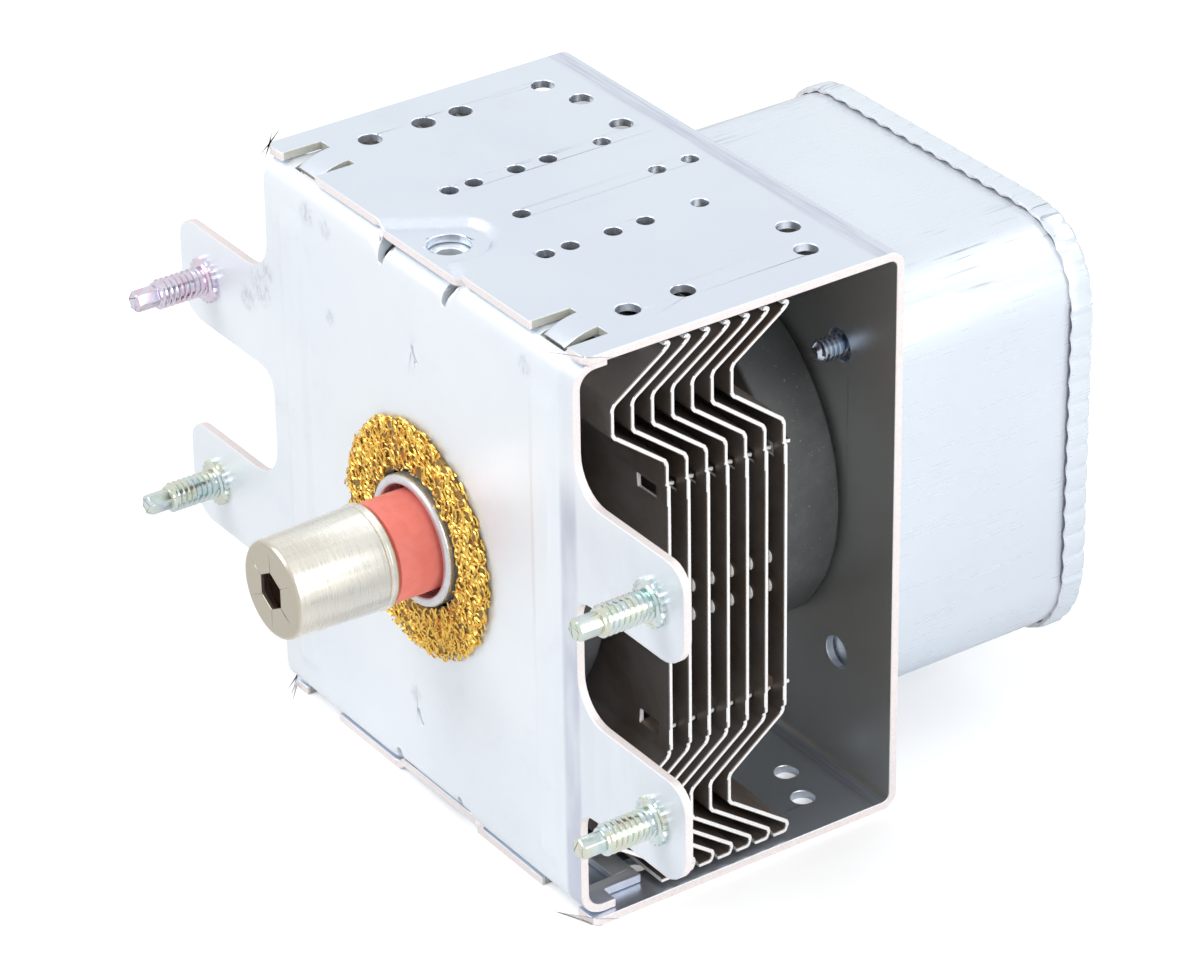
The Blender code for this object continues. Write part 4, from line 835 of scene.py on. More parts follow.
def studs():
    """Four pressed studs: toothed collar, rolled thread and a faceted dog point."""
    for i, (x, z) in enumerate(stud_places()):
        tip = PLATE_FACE - 11.0
        bm = bmesh.new()
        core = [(0, -22.4), (2.9, -22.4), (2.9, -23.1), (1.72, -23.1), (1.72, tip + 3.2), (0, tip + 3.2)]
        turn_into(bm, core, [0, 0.2, 0, 0, 0.2, 0], 40, 2, closed=False, x=x, z=z)
        thread_into(bm, x, z, PLATE_FACE - 1.0, tip + 3.5, 1.66, 2.0, 0.78)
        point = bmesh.new()
        turn = math.radians(20 + 37 * i)
        ring = [(x + 1.5 * math.cos(turn + k * math.tau / 6),
                 z + 1.5 * math.sin(turn + k * math.tau / 6)) for k in range(6)]
        slab_into(point, [(u, tip + 3.3, v) for u, v in ring], (0, -3.3, 0), [0.25] * 6, 3)
        ends = [e for e in point.edges if all(v.co.y < (tip + 0.01) * MM for v in e.verts)]
        bmesh.ops.bevel(point, geom=ends, offset=0.42 * MM, offset_type="OFFSET", segments=3, profile=0.5,
                        affect="EDGES", material=-1)
        join(bm, point)
        collar = bmesh.new()
        teeth = []
        for k in range(44):
            a = math.tau * k / 44
            r = 3.15 if k % 2 else 2.86
            teeth.append((x + r * math.cos(a), PLATE_FACE + 0.02, z + r * math.sin(a)))
        slab_into(collar, teeth, (0, -0.75, 0))
        rim = [e for e in collar.edges if all(v.co.y < (PLATE_FACE - 0.7) * MM for v in e.verts)]
        bmesh.ops.bevel(collar, geom=rim, offset=0.12 * MM, offset_type="OFFSET", segments=2, profile=0.5,
                        affect="EDGES", material=-1)
        join(bm, collar)
        turn_into(bm, [(0, PLATE_FACE - 0.7), (2.6, PLATE_FACE - 0.7), (2.3, PLATE_FACE - 1.0),
                       (0, PLATE_FACE - 1.0)],
                  [0, 0, 0.1, 0], 40, 2, closed=False, x=x, z=z)
        obj = keep(bm, "threaded_stud_%d" % (i + 1), FINISH["stud_violet" if i == 1 else "stud"], merge=0)
        soften(obj, 38)
        ride(obj, "stud_zinc", "stud_%d" % (i + 1))


def fin_path(y):
    """The fold of one fin across Y and Z, as points and the radius of each bend."""
    points = [(y - 0.75, 78.12), (y + 1.9, 78.12), (y - 7.8, 71.52), (y - 7.8, 67.77), (y, 61.8), (y, 20.0),
              (y - 8.3, 13.73), (y - 8.3, 9.98), (y + 0.9, 3.38), (y + 0.3, 1.88), (y - 1.7, 1.88)]
    return points, [0, 0.9, 1.1, 1.1, 1.2, 1.1, 1.1, 1.1, 0.7, 0.55, 0]


def fins():
    """Seven folded fins with windows, bent tongues and pierced pips, pressed onto the anode."""
    for k in range(7):
        y = FIN_FIRST + FIN_PITCH * k
        bm = bmesh.new()
        points, radii = fin_path(y + 0.28)
        edges = wire(bm, [(-FIN_HALF, u, v) for u, v in points], radii, 5)
        pull(bm, edges, mm(2 * FIN_HALF, 0, 0))
        lines = [s * x for s in (-1, 1) for x in WINDOW_X + (33.9,)]
        grid(bm, xs=lines, zs=[z + d for z in WINDOW_Z for d in (-1.05, 1.05)] + [58.6, 58.3, 20.9, 21.2])
        gone = []
        for face in bm.faces:
            c = face.calc_center_median() / MM
            if WINDOW_X[0] < abs(c.x) < WINDOW_X[1] and any(abs(c.z - z) < 1.05 for z in WINDOW_Z):
                gone.append(face)
        bmesh.ops.delete(bm, geom=gone, context="FACES")
        tongue_rows = []
        for s in (-1, 1):
            for z in WINDOW_Z:
                edge = z + (1.05 if z > 40 else -1.05)
                row = [e for e in bm.edges if all(
                    abs(v.co.z / MM - edge) < 1e-3 and WINDOW_X[0] - 1e-3 < s * v.co.x / MM < WINDOW_X[1] + 1e-3
                    for v in e.verts)]
                tongue_rows.append((row, -0.55 if z > 40 else 0.55))
        for row, fall in tongue_rows:
            pull(bm, row, mm(0, 2.15, fall))
        for v in bm.verts:
            x, w, z = v.co / MM
            if abs(abs(x) - FIN_HALF) < 1e-3 and 21.1 < z < 58.4 and w > y - 0.5:
                v.co.x += math.copysign(0.38, x) * MM
        bmesh.ops.recalc_face_normals(bm, faces=bm.faces)
        face = min((f for f in bm.faces if abs(f.normal.y) > 0.99 and 30 < f.calc_center_median().z / MM < 50),
                   key=lambda f: f.calc_center_median().y)
        if face.normal.y < 0:
            bmesh.ops.reverse_faces(bm, faces=bm.faces)
        obj = keep(bm, "fin_sheet_%d" % (k + 1), FINISH["fin"], FINISH["fin_edge"], outward=False)
        thicken(obj, 0.56, 1)
        tool = bmesh.new()
        cylinder_into(tool, 18.8, (0, y - 1.4, AXIS_Z), (0, y + 1.4, AXIS_Z), 72)
        tools = [keep(tool, "cut_fin_bore", FINISH["fin_edge"])]
        if k < 3:
            tool = bmesh.new()
            cylinder_into(tool, MAGNET_R + 0.5, (0, -30, AXIS_Z), (0, -13.5, AXIS_Z), 96)
            tools.append(keep(tool, "cut_fin_magnet", FINISH["fin_edge"]))
        carve(obj, tools)
        ease(obj, 0.1, 1, 50)
        if k > 1:
            pips = bmesh.new()
            for s in (-1, 1):
                for z in (41.4, 37.3):
                    place = Matrix.Translation(mm(s * 31.4, y - 0.2, z)) @ Matrix.Diagonal((0.75, 0.55, 1.0, 1))
                    bmesh.ops.create_icosphere(pips, subdivisions=3, radius=0.95 * MM, matrix=place)
            pip = keep(pips, "fin_pips_%d" % (k + 1), FINISH["fin_edge"], merge=0)
            soften(pip, 60)
            ride(pip, "fin_metal")
        ride(obj, "fin_metal", "fin_%d" % (k + 1))


def magnets():
    """Two ground ferrite rings."""
    for name, node, a in (("front_ring", "magnet_front", -23.1), ("rear_ring", "magnet_rear", 12.55)):
        bm = bmesh.new()
        b = a + 9.3
        turn_into(bm, [(MAGNET_R, a), (MAGNET_R, b), (MAGNET_BORE, b), (MAGNET_BORE, a)],
                  [0.55, 0.55, 0.3, 0.3], 128, 3)
        obj = keep(bm, name, FINISH["ferrite"])
        soften(obj, 40)
        ride(obj, "ferrite", node)


def antenna():
    """The neck, the coral ceramic window and the nickel cap with its six-sided socket."""
    rim = PLATE_FACE - 1.7
    bm = bmesh.new()
    start = -13.2
    profile = [(17.9, start), (17.9, start - 0.6), (9.9, start - 0.6), (8.7, start - 1.9), (8.7, rim),
               (7.4, rim),
               (7.4, start - 1.0), (7.9, start)]
    turn_into(bm, profile, [0, 0, 0, 1.0, 0.62, 0.5, 0, 0], 96, 5)
    neck = keep(bm, "neck_shell", FINISH["shell"])
    soften(neck, 40)
    ride(neck, "zinc_plate", "antenna_shell")
    bm = bmesh.new()
    cap_open = rim - 5.8
    profile = [(7.1, rim + 4.6), (4.4, rim + 4.6), (4.4, cap_open - 0.8), (6.15, cap_open - 0.8),
               (6.15, cap_open + 0.3), (6.65, cap_open + 0.5), (6.65, rim + 2.8), (7.1, rim + 3.2)]
    turn_into(bm, profile, [0, 0, 0, 0, 0, 0.15, 0, 0], 96, 3)
    window = keep(bm, "ceramic_window", FINISH["ceramic"])
    soften(window, 40)
    ride(window, "pink_ceramic", "antenna_ceramic")
    bm = bmesh.new()
    tip = cap_open - 14.4
    profile = [(6.45, cap_open), (7.0, cap_open), (7.0, cap_open - 0.85), (6.78, cap_open - 1.0),
               (6.84, cap_open - 1.35),
               (6.45, tip), (0, tip), (0, tip + 0.55), (5.9, tip + 0.55), (6.2, cap_open - 1.1)]
    turn_into(bm, profile, [0, 0.3, 0.2, 0.1, 0.2, 0.8, 0, 0, 0.3, 0], 128, 5)
    cap = keep(bm, "nickel_cap", FINISH["cap"])
    tool = bmesh.new()
    ring = [(2.6 * math.cos(math.radians(90 + 60 * k)),
             AXIS_Z + 2.6 * math.sin(math.radians(90 + 60 * k))) for k in range(6)]
    slab_into(tool, [(u, tip - 1, v) for u, v in ring], (0, 3, 0))
    carve(cap, [keep(tool, "cut_cap_socket", FINISH["cut"])])
    ease(cap, 0.06, 2, 40)
    ride(cap, "nickel", "antenna_cap")


def gasket(looks):
    """The knitted ring: a dark core, painted shade for the gaps in the knit, under hundreds of short bent wires."""
    bm = bmesh.new()
    a, b = PLATE_FACE - 0.1, PLATE_FACE - 0.72
    turn_into(bm, [(15.3, a), (15.3, b), (9.2, b), (9.2, a)], [0, 0.4, 0.3, 0], 160, 4)
    for v in bm.verts:
        if v.co.y < (b + 0.3) * MM:
            v.co.y -= 0.25 * noise.noise(v.co * 900) * MM
    ring = keep(bm, "gasket_core", FINISH["mesh_base"])
    soften(ring, 60)
    ride(ring, "brass_mesh", "mesh_gasket")
    rng = random.Random(7)
    bm = bmesh.new()
    for n in range(looks.mesh_loops):
        part = bmesh.new()
        arc = rng.uniform(1.6, 3.6)
        size = rng.uniform(0.55, 1.0)
        loop = bmesh.ops.create_circle(part, segments=4, radius=0.14 * MM, cap_ends=True,
                                       matrix=Matrix.Translation((size * MM, 0,
                                                                  0)) @ Matrix.Rotation(math.pi / 2, 4, "X"))
        bmesh.ops.spin(part, geom=loop["verts"] + list(part.edges) + list(part.faces), cent=(0, 0, 0),
                       axis=(0, 0, 1),
                       angle=arc, steps=5, use_merge=False)
        edge = n % 5 == 0
        radius = rng.uniform(14.9, 15.35) if edge else math.sqrt(rng.uniform(9.75 ** 2, 15.2 ** 2))
        angle = rng.uniform(0, math.tau)
        depth = b + rng.uniform(0.05, 0.45) if edge else b - rng.uniform(-0.1, 0.2)
        place = Matrix.Translation(mm(radius * math.cos(angle), depth, AXIS_Z + radius * math.sin(angle)))
        turn = Matrix.Rotation(math.pi / 2, 4, "X") @ Matrix.Rotation(rng.uniform(0, math.tau), 4, "Z")
        tilt = Matrix.Rotation(rng.uniform(-0.22, 0.22), 4, "X") @ Matrix.Rotation(rng.uniform(-0.22, 0.22), 4,
                                                                                   "Z")
        bmesh.ops.transform(part, matrix=place @ tilt @ turn, verts=part.verts)
        bmesh.ops.recalc_face_normals(part, faces=part.faces)
        join(bm, part)
    wires = keep(bm, "gasket_wires", FINISH["mesh"], merge=0, outward=False)
    soften(wires, 80)
    ride(wires, "brass_mesh")


def rounded_square(half, radius, y):
    return [(half, y, BOX_Z + half), (-half, y, BOX_Z + half), (-half, y, BOX_Z - half),
            (half, y, BOX_Z - half)], [radius] * 4


def filter_can():
    """The drawn box around the cathode leads, its rippled lid and its two screws."""
    bm = bmesh.new()
    points, radii = rounded_square(BOX_HALF, 10.0, BOX_REAR)
    edges = wire(bm, points, radii, 12, closed=True)
    rows = pull(bm, edges, mm(0, BOX_FRONT + 3.0 - BOX_REAR, 0))
    centre = Vector((0, 0, BOX_Z * MM))
    for step in range(6):
        a, b = (math.radians(15 * k) for k in (step, step + 1))
        rows = pull(bm, [e for e in rows if abs(e.verts[0].co.y - e.verts[1].co.y) < 1e-7],
                    mm(0, -3.0 * (math.sin(b) - math.sin(a)), 0))
        low = min(v.co.y for e in rows for v in e.verts) + 1e-6
        for v in {v for e in rows for v in e.verts if v.co.y < low}:
            out = Vector((v.co.x, 0, v.co.z)) - centre
            v.co -= lid_way(out / MM) * 3.0 * (math.cos(a) - math.cos(b)) * MM
    bmesh.ops.contextual_create(bm, geom=[e for e in rows if abs(e.verts[0].co.y - e.verts[1].co.y) < 1e-7])
    bmesh.ops.recalc_face_normals(bm, faces=bm.faces)
    floor = min(bm.faces, key=lambda f: f.calc_center_median().y)
    if floor.normal.y > 0:
        bmesh.ops.reverse_faces(bm, faces=bm.faces)
    can = keep(bm, "filter_can", FINISH["box"], FINISH["cut_pale"], outward=False)
    thicken(can, 0.8, 1)
    tool = bmesh.new()
    cylinder_into(tool, 10.6, (0, BOX_FRONT - 2, AXIS_Z), (0, BOX_FRONT + 3, AXIS_Z), 64)
    for s in (-1, 1):
        x, z = s * SCREW_X, BOX_Z + s * SCREW_RISE
        cylinder_into(tool, SCREW_HOLE_R, (x, BOX_FRONT - 2, z), (x, BOX_FRONT + 3, z))
    tools = [keep(tool, "cut_can_floor", FINISH["cut"])]
    tool = bmesh.new()
    slab_into(tool, stadium(8.2, 5.2, -BOX_HALF - 2), (5, 0, 0), [5.2] * 4, 10)
    tools.append(keep(tool, "cut_can_side", FINISH["cut"]))
    carve(can, tools)
    ride(can, "zinc_plate", "filter_box")

    bm = bmesh.new()
    points, radii = rounded_square(BOX_HALF + 1.0, 11.0, LID_FRONT)
    wire(bm, points, radii, 40, closed=True)
    bmesh.ops.subdivide_edges(bm, edges=[e for e in bm.edges if e.calc_length() > 2 * MM], cuts=149,
                              use_grid_fill=False)
    start = list(bm.edges)
    rows = start
    for step in (0.25, 0.5, 0.8, 0.8, 0.7, 0.4, 0.25):
        rows = pull(bm, rows, mm(0, step, 0))
        rows = [e for e in rows if abs(e.verts[0].co.y - e.verts[1].co.y) < 1e-7]
    rim = bmesh.ops.contextual_create(bm, geom=rows)["faces"]
    bmesh.ops.inset_region(bm, faces=rim, thickness=1.7 * MM, depth=0, use_even_offset=True)
    bmesh.ops.inset_region(bm, faces=rim, thickness=0.5 * MM, depth=-0.45 * MM, use_even_offset=True)
    centre = Vector((0, 0, BOX_Z * MM))
    for v in bm.verts:
        y = v.co.y / MM
        out = Vector((v.co.x, 0, v.co.z)) - centre
        if max(abs(out.x), abs(out.z)) / MM < 28.9 and Vector((out.x, out.z)).length / MM < 30:
            continue
        along = lid_run(out / MM)
        way = lid_way(out / MM)
        beat = (along / 3.2) % 1.0
        ripple = 0.13 * (abs(math.sin(math.pi * beat)) ** 0.7 - 0.7) * (0.75 + 0.5 * noise.noise(v.co * 90))
        nick = 0.22 * math.exp(-((beat - 0.0 if beat < 0.5 else beat - 1.0) * 3.2 / 0.3) ** 2) * rise((y - LID_REAR + 1.6) / 0.7)
        lap = 0.30 * rise((along - 20.2) / 0.35) - 0.16 * rise((along - 28.6) / 0.35) - 0.14 * rise((along - 37.3) / 0.35)
        tuck = 0.5 * rise((y - LID_REAR + 0.9) / 0.9) ** 2 + 0.25 * rise((LID_FRONT + 0.5 - y) / 0.5)
        v.co += way * (ripple - nick - lap - tuck) * MM
        if abs(y - LID_FRONT) < 0.01:
            v.co.y += 0.10 * (0.5 - 0.5 * math.cos(math.tau * beat)) * MM
    bmesh.ops.recalc_face_normals(bm, faces=bm.faces)
    back = max(bm.faces, key=lambda f: f.calc_center_median().y)
    if back.normal.y < 0:
        bmesh.ops.reverse_faces(bm, faces=bm.faces)
    lid = keep(bm, "rippled_lid", FINISH["box"], FINISH["cut_pale"], outward=False)
    thicken(lid, 0.6, 1)
    tool = bmesh.new()
    for s in (-1, 1):
        for t in (-1, 1):
            for u, v in ((20.3, 31.0), (27.9, 27.9), (31.0, 20.3)):
                way = Vector((u - 20, v - 20)).normalized()
                cylinder_into(tool, 0.42,
                              (s * (u - 0.9 * way.x), LID_REAR - 0.2, BOX_Z + t * (v - 0.9 * way.y)),
                              (s * (u + 2 * way.x), LID_REAR - 0.2, BOX_Z + t * (v + 2 * way.y)), 12)
    carve(lid, [keep(tool, "cut_lid_slits", FINISH["cut"])])
    ride(lid, "zinc_plate", "filter_lid")

    for name, s in (("box_screw_1", 1), ("box_screw_2", -1)):
        x, z = s * 23.8, BOX_Z + s * 22.3
        bm = bmesh.new()
        head = 24.85
        core = [(0, head + 1.9), (3.3, head + 1.9), (3.3, head), (1.25, head), (1.25, 19.0), (0.75, 18.3),
                (0, 18.3)]
        turn_into(bm, core, [0, 1.2, 0, 0, 0.2, 0.2, 0], 40, 4, closed=False, x=x, z=z)
        thread_into(bm, x, z, 24.0, 19.1, 1.22, 1.56, 0.7)
        obj = keep(bm, name, FINISH["screw"], merge=0)
        soften(obj, 40)
        ride(obj, "stud_zinc", "filter_screw_%d" % (1 if s > 0 else 2))


def lid_way(out):
    """The outward direction at a place on the lid's outline."""
    flat = 20.0
    x = math.copysign(max(0.0, abs(out.x) - flat), out.x)
    z = math.copysign(max(0.0, abs(out.z) - flat), out.z)
    if abs(out.x) < flat or abs(out.z) < flat:
        return Vector((math.copysign(1, out.x), 0, 0)) if abs(out.x) > abs(out.z) else Vector((0, 0,
                                                                                               math.copysign(1,
                                                                                                             out.z)))
    return Vector((x, 0, z)).normalized()


def lid_run(out):
    """How far along the lid's outline a place is, in millimetres from the middle of its side."""
    flat, radius = 20.0, 11.0
    side, up = abs(out.x), abs(out.z)
    if up <= flat:
        return up
    corner = math.atan2(up - flat, max(1e-6, side - flat)) * radius
    if side > flat:
        return flat + corner
    return flat + math.pi / 2 * radius + flat - side


def stadium(half, radius, x):
    """A slot outline across Y and Z, its corners to be rounded by its radius."""
    return [(x, CAP_Y - radius, BOX_Z - half - radius), (x, CAP_Y + radius, BOX_Z - half - radius),
            (x, CAP_Y + radius, BOX_Z + half + radius), (x, CAP_Y - radius, BOX_Z + half + radius)]


def capacitor():
    """The feed-through capacitor: rolled flange, moulded body and two blades."""
    side = -BOX_HALF - 0.3
    bm = bmesh.new()
    slab_into(bm, stadium(10.4, 7.6, side), (-1.0, 0, 0), [7.59] * 4, 12)
    flange = keep(bm, "capacitor_rim", FINISH["box"])
    tool = bmesh.new()
    slab_into(tool, stadium(8.2, 5.2, side - 3), (5, 0, 0), [5.19] * 4, 12)
    carve(flange, [keep(tool, "cut_rim", FINISH["box"])])
    ease(flange, 0.25, 3)
    ride(flange, "zinc_plate", "capacitor_flange")
    bm = bmesh.new()
    slab_into(bm, stadium(8.0, 4.8, -BOX_HALF - 9.0), (14.0, 0, 0), [4.79] * 4, 12)
    body = keep(bm, "capacitor_block", FINISH["plastic"])
    tool = bmesh.new()
    for s in (-1, 1):
        cuboid_into(tool, (-BOX_HALF - 12, CAP_Y - 3.5, BOX_Z + s * 4.5 - 0.75),
                    (-BOX_HALF - 3, CAP_Y + 3.5, BOX_Z + s * 4.5 + 0.75))
    carve(body, [keep(tool, "cut_block", FINISH["plastic"])])
    ease(body, 0.3, 3)
    ride(body, "black_plastic", "capacitor_body")
    for name, node, s in (("blade_upper", "terminal_upper", 1), ("blade_lower", "terminal_lower", -1)):
        z = BOX_Z + s * 4.5
        a, b = -BOX_HALF - 3.4, -BOX_HALF - 17.5
        bm = bmesh.new()
        slab_into(bm, [(a, CAP_Y - 3.15, z - 0.4), (a, CAP_Y + 3.15, z - 0.4), (b, CAP_Y + 3.15, z - 0.4),
                       (b, CAP_Y - 3.15, z - 0.4)],
                  (0, 0, 0.8), [0, 0, 1.3, 1.3], 4)
        blade = keep(bm, name, FINISH["tin"])
        tool = bmesh.new()
        cylinder_into(tool, 0.9, (-43.5, CAP_Y, z - 2), (-43.5, CAP_Y, z + 2), 24)
        carve(blade, [keep(tool, "cut_blade", FINISH["tin"])])
        ease(blade, 0.15, 2)
        ride(blade, "terminal_tin", node)


def inner_finishes():
    """The pieces inside keep their shape and get their metals and ceramics."""
    wanted = {
        "anode_block": "copper", "pole_piece_front": "iron", "pole_piece_rear": "iron", "cathode_shell": "shell",
        "antenna_lead": "copper", "cathode_heater": "iron", "stem_ceramic": "ceramic", "lead_post_upper": "iron",
        "lead_post_lower": "iron", "choke_upper_core": "ferrite", "choke_lower_core": "ferrite",
        "choke_upper_coil": "copper", "choke_lower_coil": "copper",
    }
    for name, finish in wanted.items():
        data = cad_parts[name].data
        data.materials.clear()
        data.materials.append(FINISH[finish])


# The stage.


def camera_and_lights(stage):
    """The camera of the photograph, a white floor that keeps a soft shadow, and soft studio light."""
    az, el, roll = (math.radians(v) for v in (stage.azimuth, stage.elevation, stage.roll))
    back = Vector((math.sin(az) * math.cos(el), -math.cos(az) * math.cos(el), math.sin(el)))
    right = Vector((0, 0, 1)).cross(back).normalized()
    up = back.cross(right)
    right, up = right * math.cos(roll) + up * math.sin(roll), up * math.cos(roll) - right * math.sin(roll)
    spot = (back * stage.distance - right * stage.slide_right - up * stage.slide_up) * MM
    camera = bpy.data.cameras.new("photo_camera")
    camera.sensor_fit = "HORIZONTAL"
    camera.sensor_width = 36
    camera.lens = stage.lens
    camera.clip_start = 0.01
    camera.clip_end = 50
    eye = bpy.data.objects.new("photo_camera", camera)
    bpy.context.scene.collection.objects.link(eye)
    eye.matrix_world = Matrix.Translation(spot) @ Matrix((right, up, back)).transposed().to_4x4()
    bpy.context.scene.camera = eye

    bm = bmesh.new()
    bmesh.ops.create_circle(bm, cap_ends=True, segments=96, radius=6.0)
    floor = keep(bm, "floor", floor_finish(), outward=False)

    world = bpy.data.worlds.new("studio")
    bpy.context.scene.world = world
    world.use_nodes = True
    tree = world.node_tree
    sky = tree.nodes["Background"]
    sky.inputs["Color"].default_value = (1, 1, 1, 1)
    path = add(tree, "ShaderNodeLightPath")
    seen = add(tree, "ShaderNodeMath", operation="MAXIMUM")
    tree.links.new(path.outputs["Is Camera Ray"], seen.inputs[0])
    tree.links.new(path.outputs["Is Glossy Ray"], seen.inputs[1])
    through = add(tree, "ShaderNodeMath", operation="MAXIMUM")
    tree.links.new(seen.outputs[0], through.inputs[0])
    tree.links.new(path.outputs["Is Transmission Ray"], through.inputs[1])
    level = add(tree, "ShaderNodeMapRange")
    level.inputs["To Min"].default_value = stage.ambient
    level.inputs["To Max"].default_value = 1.0
    tree.links.new(through.outputs[0], level.inputs["Value"])
    tree.links.new(level.outputs["Result"], sky.inputs["Strength"])

    for name, place, size, watts in (
        ("key_softbox", (-0.35, -0.75, 0.95), 0.75, stage.key),
        ("fill_softbox", (1.0, 0.1, 0.5), 0.75, stage.fill),
        ("rear_softbox", (0.2, 0.9, 0.85), 0.7, stage.rear),
    ):
        lamp = bpy.data.lights.new(name, "AREA")
        lamp.shape = "SQUARE"
        lamp.size = size
        lamp.energy = watts
        obj = bpy.data.objects.new(name, lamp)
        bpy.context.scene.collection.objects.link(obj)
        obj.location = place
        obj.rotation_euler = (Vector((0, 0, 0.03)) - Vector(place)).to_track_quat("-Z", "Y").to_euler()
    bpy.context.scene.view_settings.view_transform = "Standard"


def floor_finish():
    mat, tree, shader = material("paper_floor", (0.93, 0.935, 0.94), 0.0, 0.6)
    grain = noise_node(tree, mapped(tree), 60, 2)
    tree.links.new(mix(tree, grain.outputs["Fac"], (0.925, 0.93, 0.94), (0.94, 0.94, 0.945)),
                   shader.inputs["Base Color"])
    shader.inputs["Specular IOR Level"].default_value = 0.3
    path = add(tree, "ShaderNodeLightPath")
    lift = add(tree, "ShaderNodeMath", operation="MULTIPLY")
    lift.inputs[1].default_value = 0.33
    tree.links.new(path.outputs["Is Camera Ray"], lift.inputs[0])
    shader.inputs["Emission Color"].default_value = (1, 1, 1, 1)
    tree.links.new(lift.outputs[0], shader.inputs["Emission Strength"])
    return mat


# The add-on.


def colour_property(name, description, default):
    return FloatVectorProperty(name=name, description=description, subtype="COLOR", size=3, min=0, max=1,
                               default=default)


class MagnetronLooks(PropertyGroup):
    """Colours and counts that a user may change."""

    yoke: colour_property("Yoke zinc", "Colour of the yoke's plating", (0.73, 0.79, 0.87))
    plate: colour_property("Plate zinc", "Colour of the front plate's plating", (0.85, 0.895, 0.94))
    box: colour_property("Box zinc", "Colour of the filter box and its lid", (0.765, 0.83, 0.90))
    fin: colour_property("Fin sheet", "Colour of the cooling fins' faces", (0.36, 0.32, 0.29))
    ferrite: colour_property("Ferrite", "Colour of the ring magnets", (0.075, 0.078, 0.08))
    cap: colour_property("Cap nickel", "Colour of the antenna cap", (0.81, 0.775, 0.69))
    ceramic: colour_property("Ceramic", "Colour of the antenna's ceramic", (0.97, 0.26, 0.21))
    mesh: colour_property("Mesh brass", "Colour of the knitted gasket", (0.90, 0.60, 0.14))


class MagnetronSizes(PropertyGroup):
    """Sizes that a user may change."""

    mesh_loops: IntProperty(name="Mesh loops", description="How many short wires the gasket is knitted from",
                            default=1500, min=100, max=3000)


class MagnetronStage(PropertyGroup):
    """The camera's place and the light's strength."""

    azimuth: FloatProperty(name="Azimuth", description="Camera angle around the part, in degrees",
                           default=55.6488)
    elevation: FloatProperty(name="Elevation", description="Camera angle above the floor, in degrees",
                             default=29.9155)
    roll: FloatProperty(name="Roll", description="Camera turn about its own view, in degrees", default=-0.9364)
    distance: FloatProperty(name="Distance", description="Camera distance from the origin, in millimetres",
                            default=682.377)
    slide_right: FloatProperty(name="Slide right",
                               description="Shift of the view to the right, in millimetres", default=-1.4687)
    slide_up: FloatProperty(name="Slide up", description="Shift of the view upwards, in millimetres",
                            default=-34.2891)
    lens: FloatProperty(name="Lens", description="Focal length on a 36 mm wide sensor",
                        subtype="DISTANCE_CAMERA", default=156.93)
    ambient: FloatProperty(name="Ambient", description="Strength of the soft light from all around",
                           default=0.42, min=0)
    key: FloatProperty(name="Key light", description="Power of the main softbox", subtype="POWER", default=8.0,
                       min=0)
    fill: FloatProperty(name="Fill light", description="Power of the softbox on the open side",
                        subtype="POWER", default=6.0, min=0)
    rear: FloatProperty(name="Rear light", description="Power of the softbox behind", subtype="POWER",
                        default=2.5, min=0)


class MAGNETRON_OT_finishes(Operator):
    """Make the materials"""

    bl_idname = "magnetron.finishes"
    bl_label = "Finishes"

    def execute(self, context):
        make_finishes(context.scene.magnetron_looks)
        return {"FINISHED"}


class MAGNETRON_OT_yoke(Operator):
    """Build the formed yoke"""

    bl_idname = "magnetron.yoke"
    bl_label = "Yoke"

    def execute(self, context):
        yoke_sheet()
        return {"FINISHED"}


class MAGNETRON_OT_plate(Operator):
    """Build the front plate with its ribs and ears"""

    bl_idname = "magnetron.plate"
    bl_label = "Front plate"

    def execute(self, context):
        plate_sheet()
        return {"FINISHED"}


class MAGNETRON_OT_studs(Operator):
    """Build the four threaded studs"""

    bl_idname = "magnetron.studs"
    bl_label = "Studs"

    def execute(self, context):
        studs()
        return {"FINISHED"}


class MAGNETRON_OT_fins(Operator):
    """Build the seven folded fins"""

    bl_idname = "magnetron.fins"
    bl_label = "Fins"

    def execute(self, context):
        fins()
        return {"FINISHED"}


class MAGNETRON_OT_magnets(Operator):
    """Build the two ring magnets"""

    bl_idname = "magnetron.magnets"
    bl_label = "Magnets"

    def execute(self, context):
        magnets()
        return {"FINISHED"}


class MAGNETRON_OT_antenna(Operator):
    """Build the neck, the ceramic and the cap"""

    bl_idname = "magnetron.antenna"
    bl_label = "Antenna"

    def execute(self, context):
        antenna()
        return {"FINISHED"}


class MAGNETRON_OT_gasket(Operator):
    """Knit the mesh gasket"""

    bl_idname = "magnetron.gasket"
    bl_label = "Mesh gasket"

    def execute(self, context):
        gasket(context.scene.magnetron_sizes)
        return {"FINISHED"}


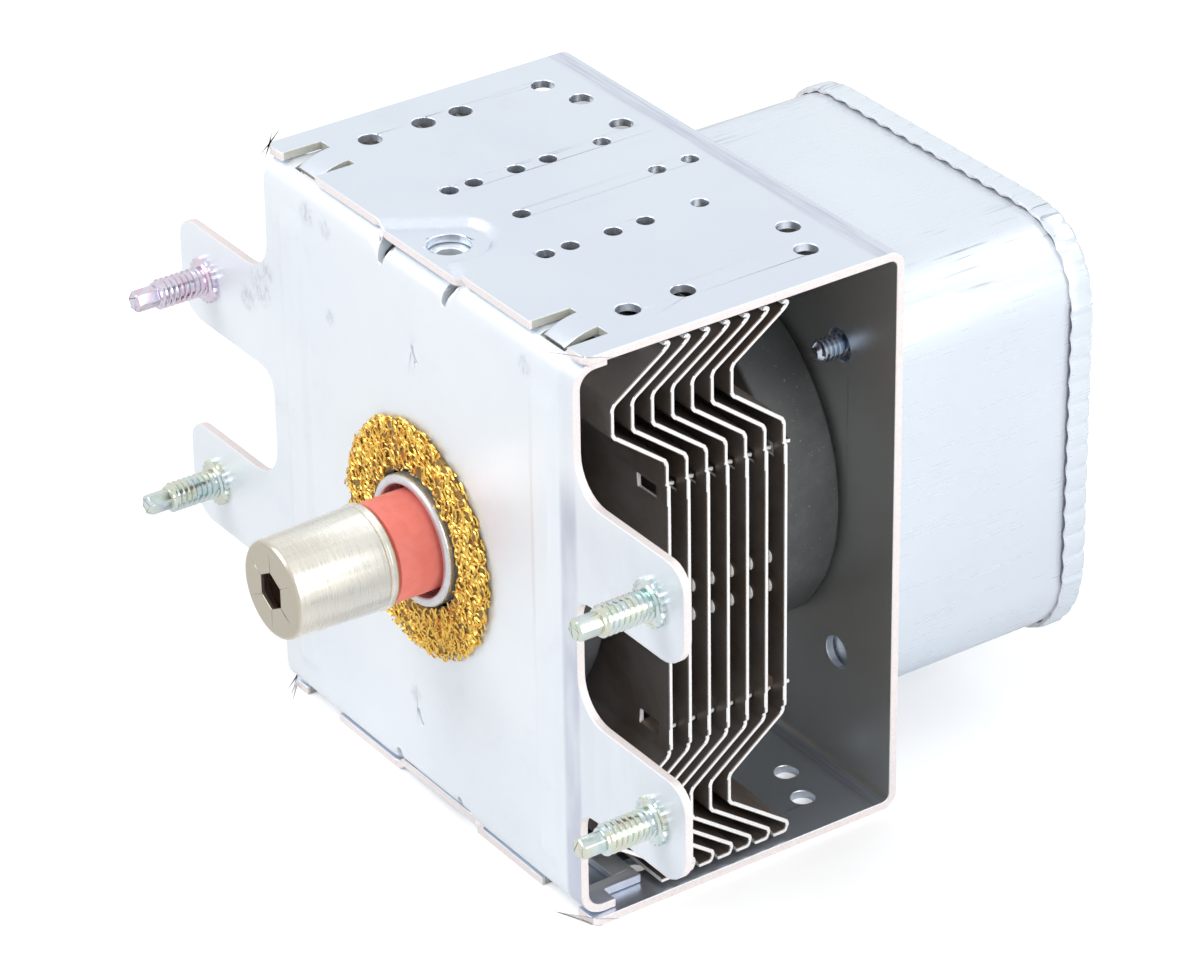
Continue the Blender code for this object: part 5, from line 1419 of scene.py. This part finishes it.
class MAGNETRON_OT_filter(Operator):
    """Build the filter box, its lid, screws and capacitor"""

    bl_idname = "magnetron.filter"
    bl_label = "Filter box"

    def execute(self, context):
        filter_can()
        capacitor()
        return {"FINISHED"}


class MAGNETRON_OT_inside(Operator):
    """Give the pieces inside their finishes"""

    bl_idname = "magnetron.inside"
    bl_label = "Inner pieces"

    def execute(self, context):
        inner_finishes()
        return {"FINISHED"}


class MAGNETRON_OT_stage(Operator):
    """Set up the camera, the floor and the light"""

    bl_idname = "magnetron.stage"
    bl_label = "Stage"

    def execute(self, context):
        camera_and_lights(context.scene.magnetron_stage)
        return {"FINISHED"}


STEPS = (
    MAGNETRON_OT_finishes, MAGNETRON_OT_yoke, MAGNETRON_OT_plate, MAGNETRON_OT_studs, MAGNETRON_OT_fins,
    MAGNETRON_OT_magnets, MAGNETRON_OT_antenna, MAGNETRON_OT_gasket, MAGNETRON_OT_filter, MAGNETRON_OT_inside,
    MAGNETRON_OT_stage,
)


class MAGNETRON_PT_panel(Panel):
    """Sizes, colours and steps of the magnetron"""

    bl_label = "Magnetron"
    bl_space_type = "VIEW_3D"
    bl_region_type = "UI"
    bl_category = "Magnetron"

    def draw(self, context):
        layout = self.layout
        for settings in (context.scene.magnetron_looks, context.scene.magnetron_sizes,
                         context.scene.magnetron_stage):
            for key in settings.__annotations__:
                layout.prop(settings, key)
        for step in STEPS:
            layout.operator(step.bl_idname)


CLASSES = (MagnetronLooks, MagnetronSizes, MagnetronStage) + STEPS + (MAGNETRON_PT_panel,)


def register():
    for cls in CLASSES:
        bpy.utils.register_class(cls)
    bpy.types.Scene.magnetron_looks = PointerProperty(type=MagnetronLooks)
    bpy.types.Scene.magnetron_sizes = PointerProperty(type=MagnetronSizes)
    bpy.types.Scene.magnetron_stage = PointerProperty(type=MagnetronStage)


def unregister():
    del bpy.types.Scene.magnetron_stage
    del bpy.types.Scene.magnetron_sizes
    del bpy.types.Scene.magnetron_looks
    for cls in reversed(CLASSES):
        bpy.utils.unregister_class(cls)


def main():
    register()
    for step in STEPS:
        name = step.bl_idname.split(".")[1]
        getattr(bpy.ops.magnetron, name)()


if __name__ == "__main__":
    main()
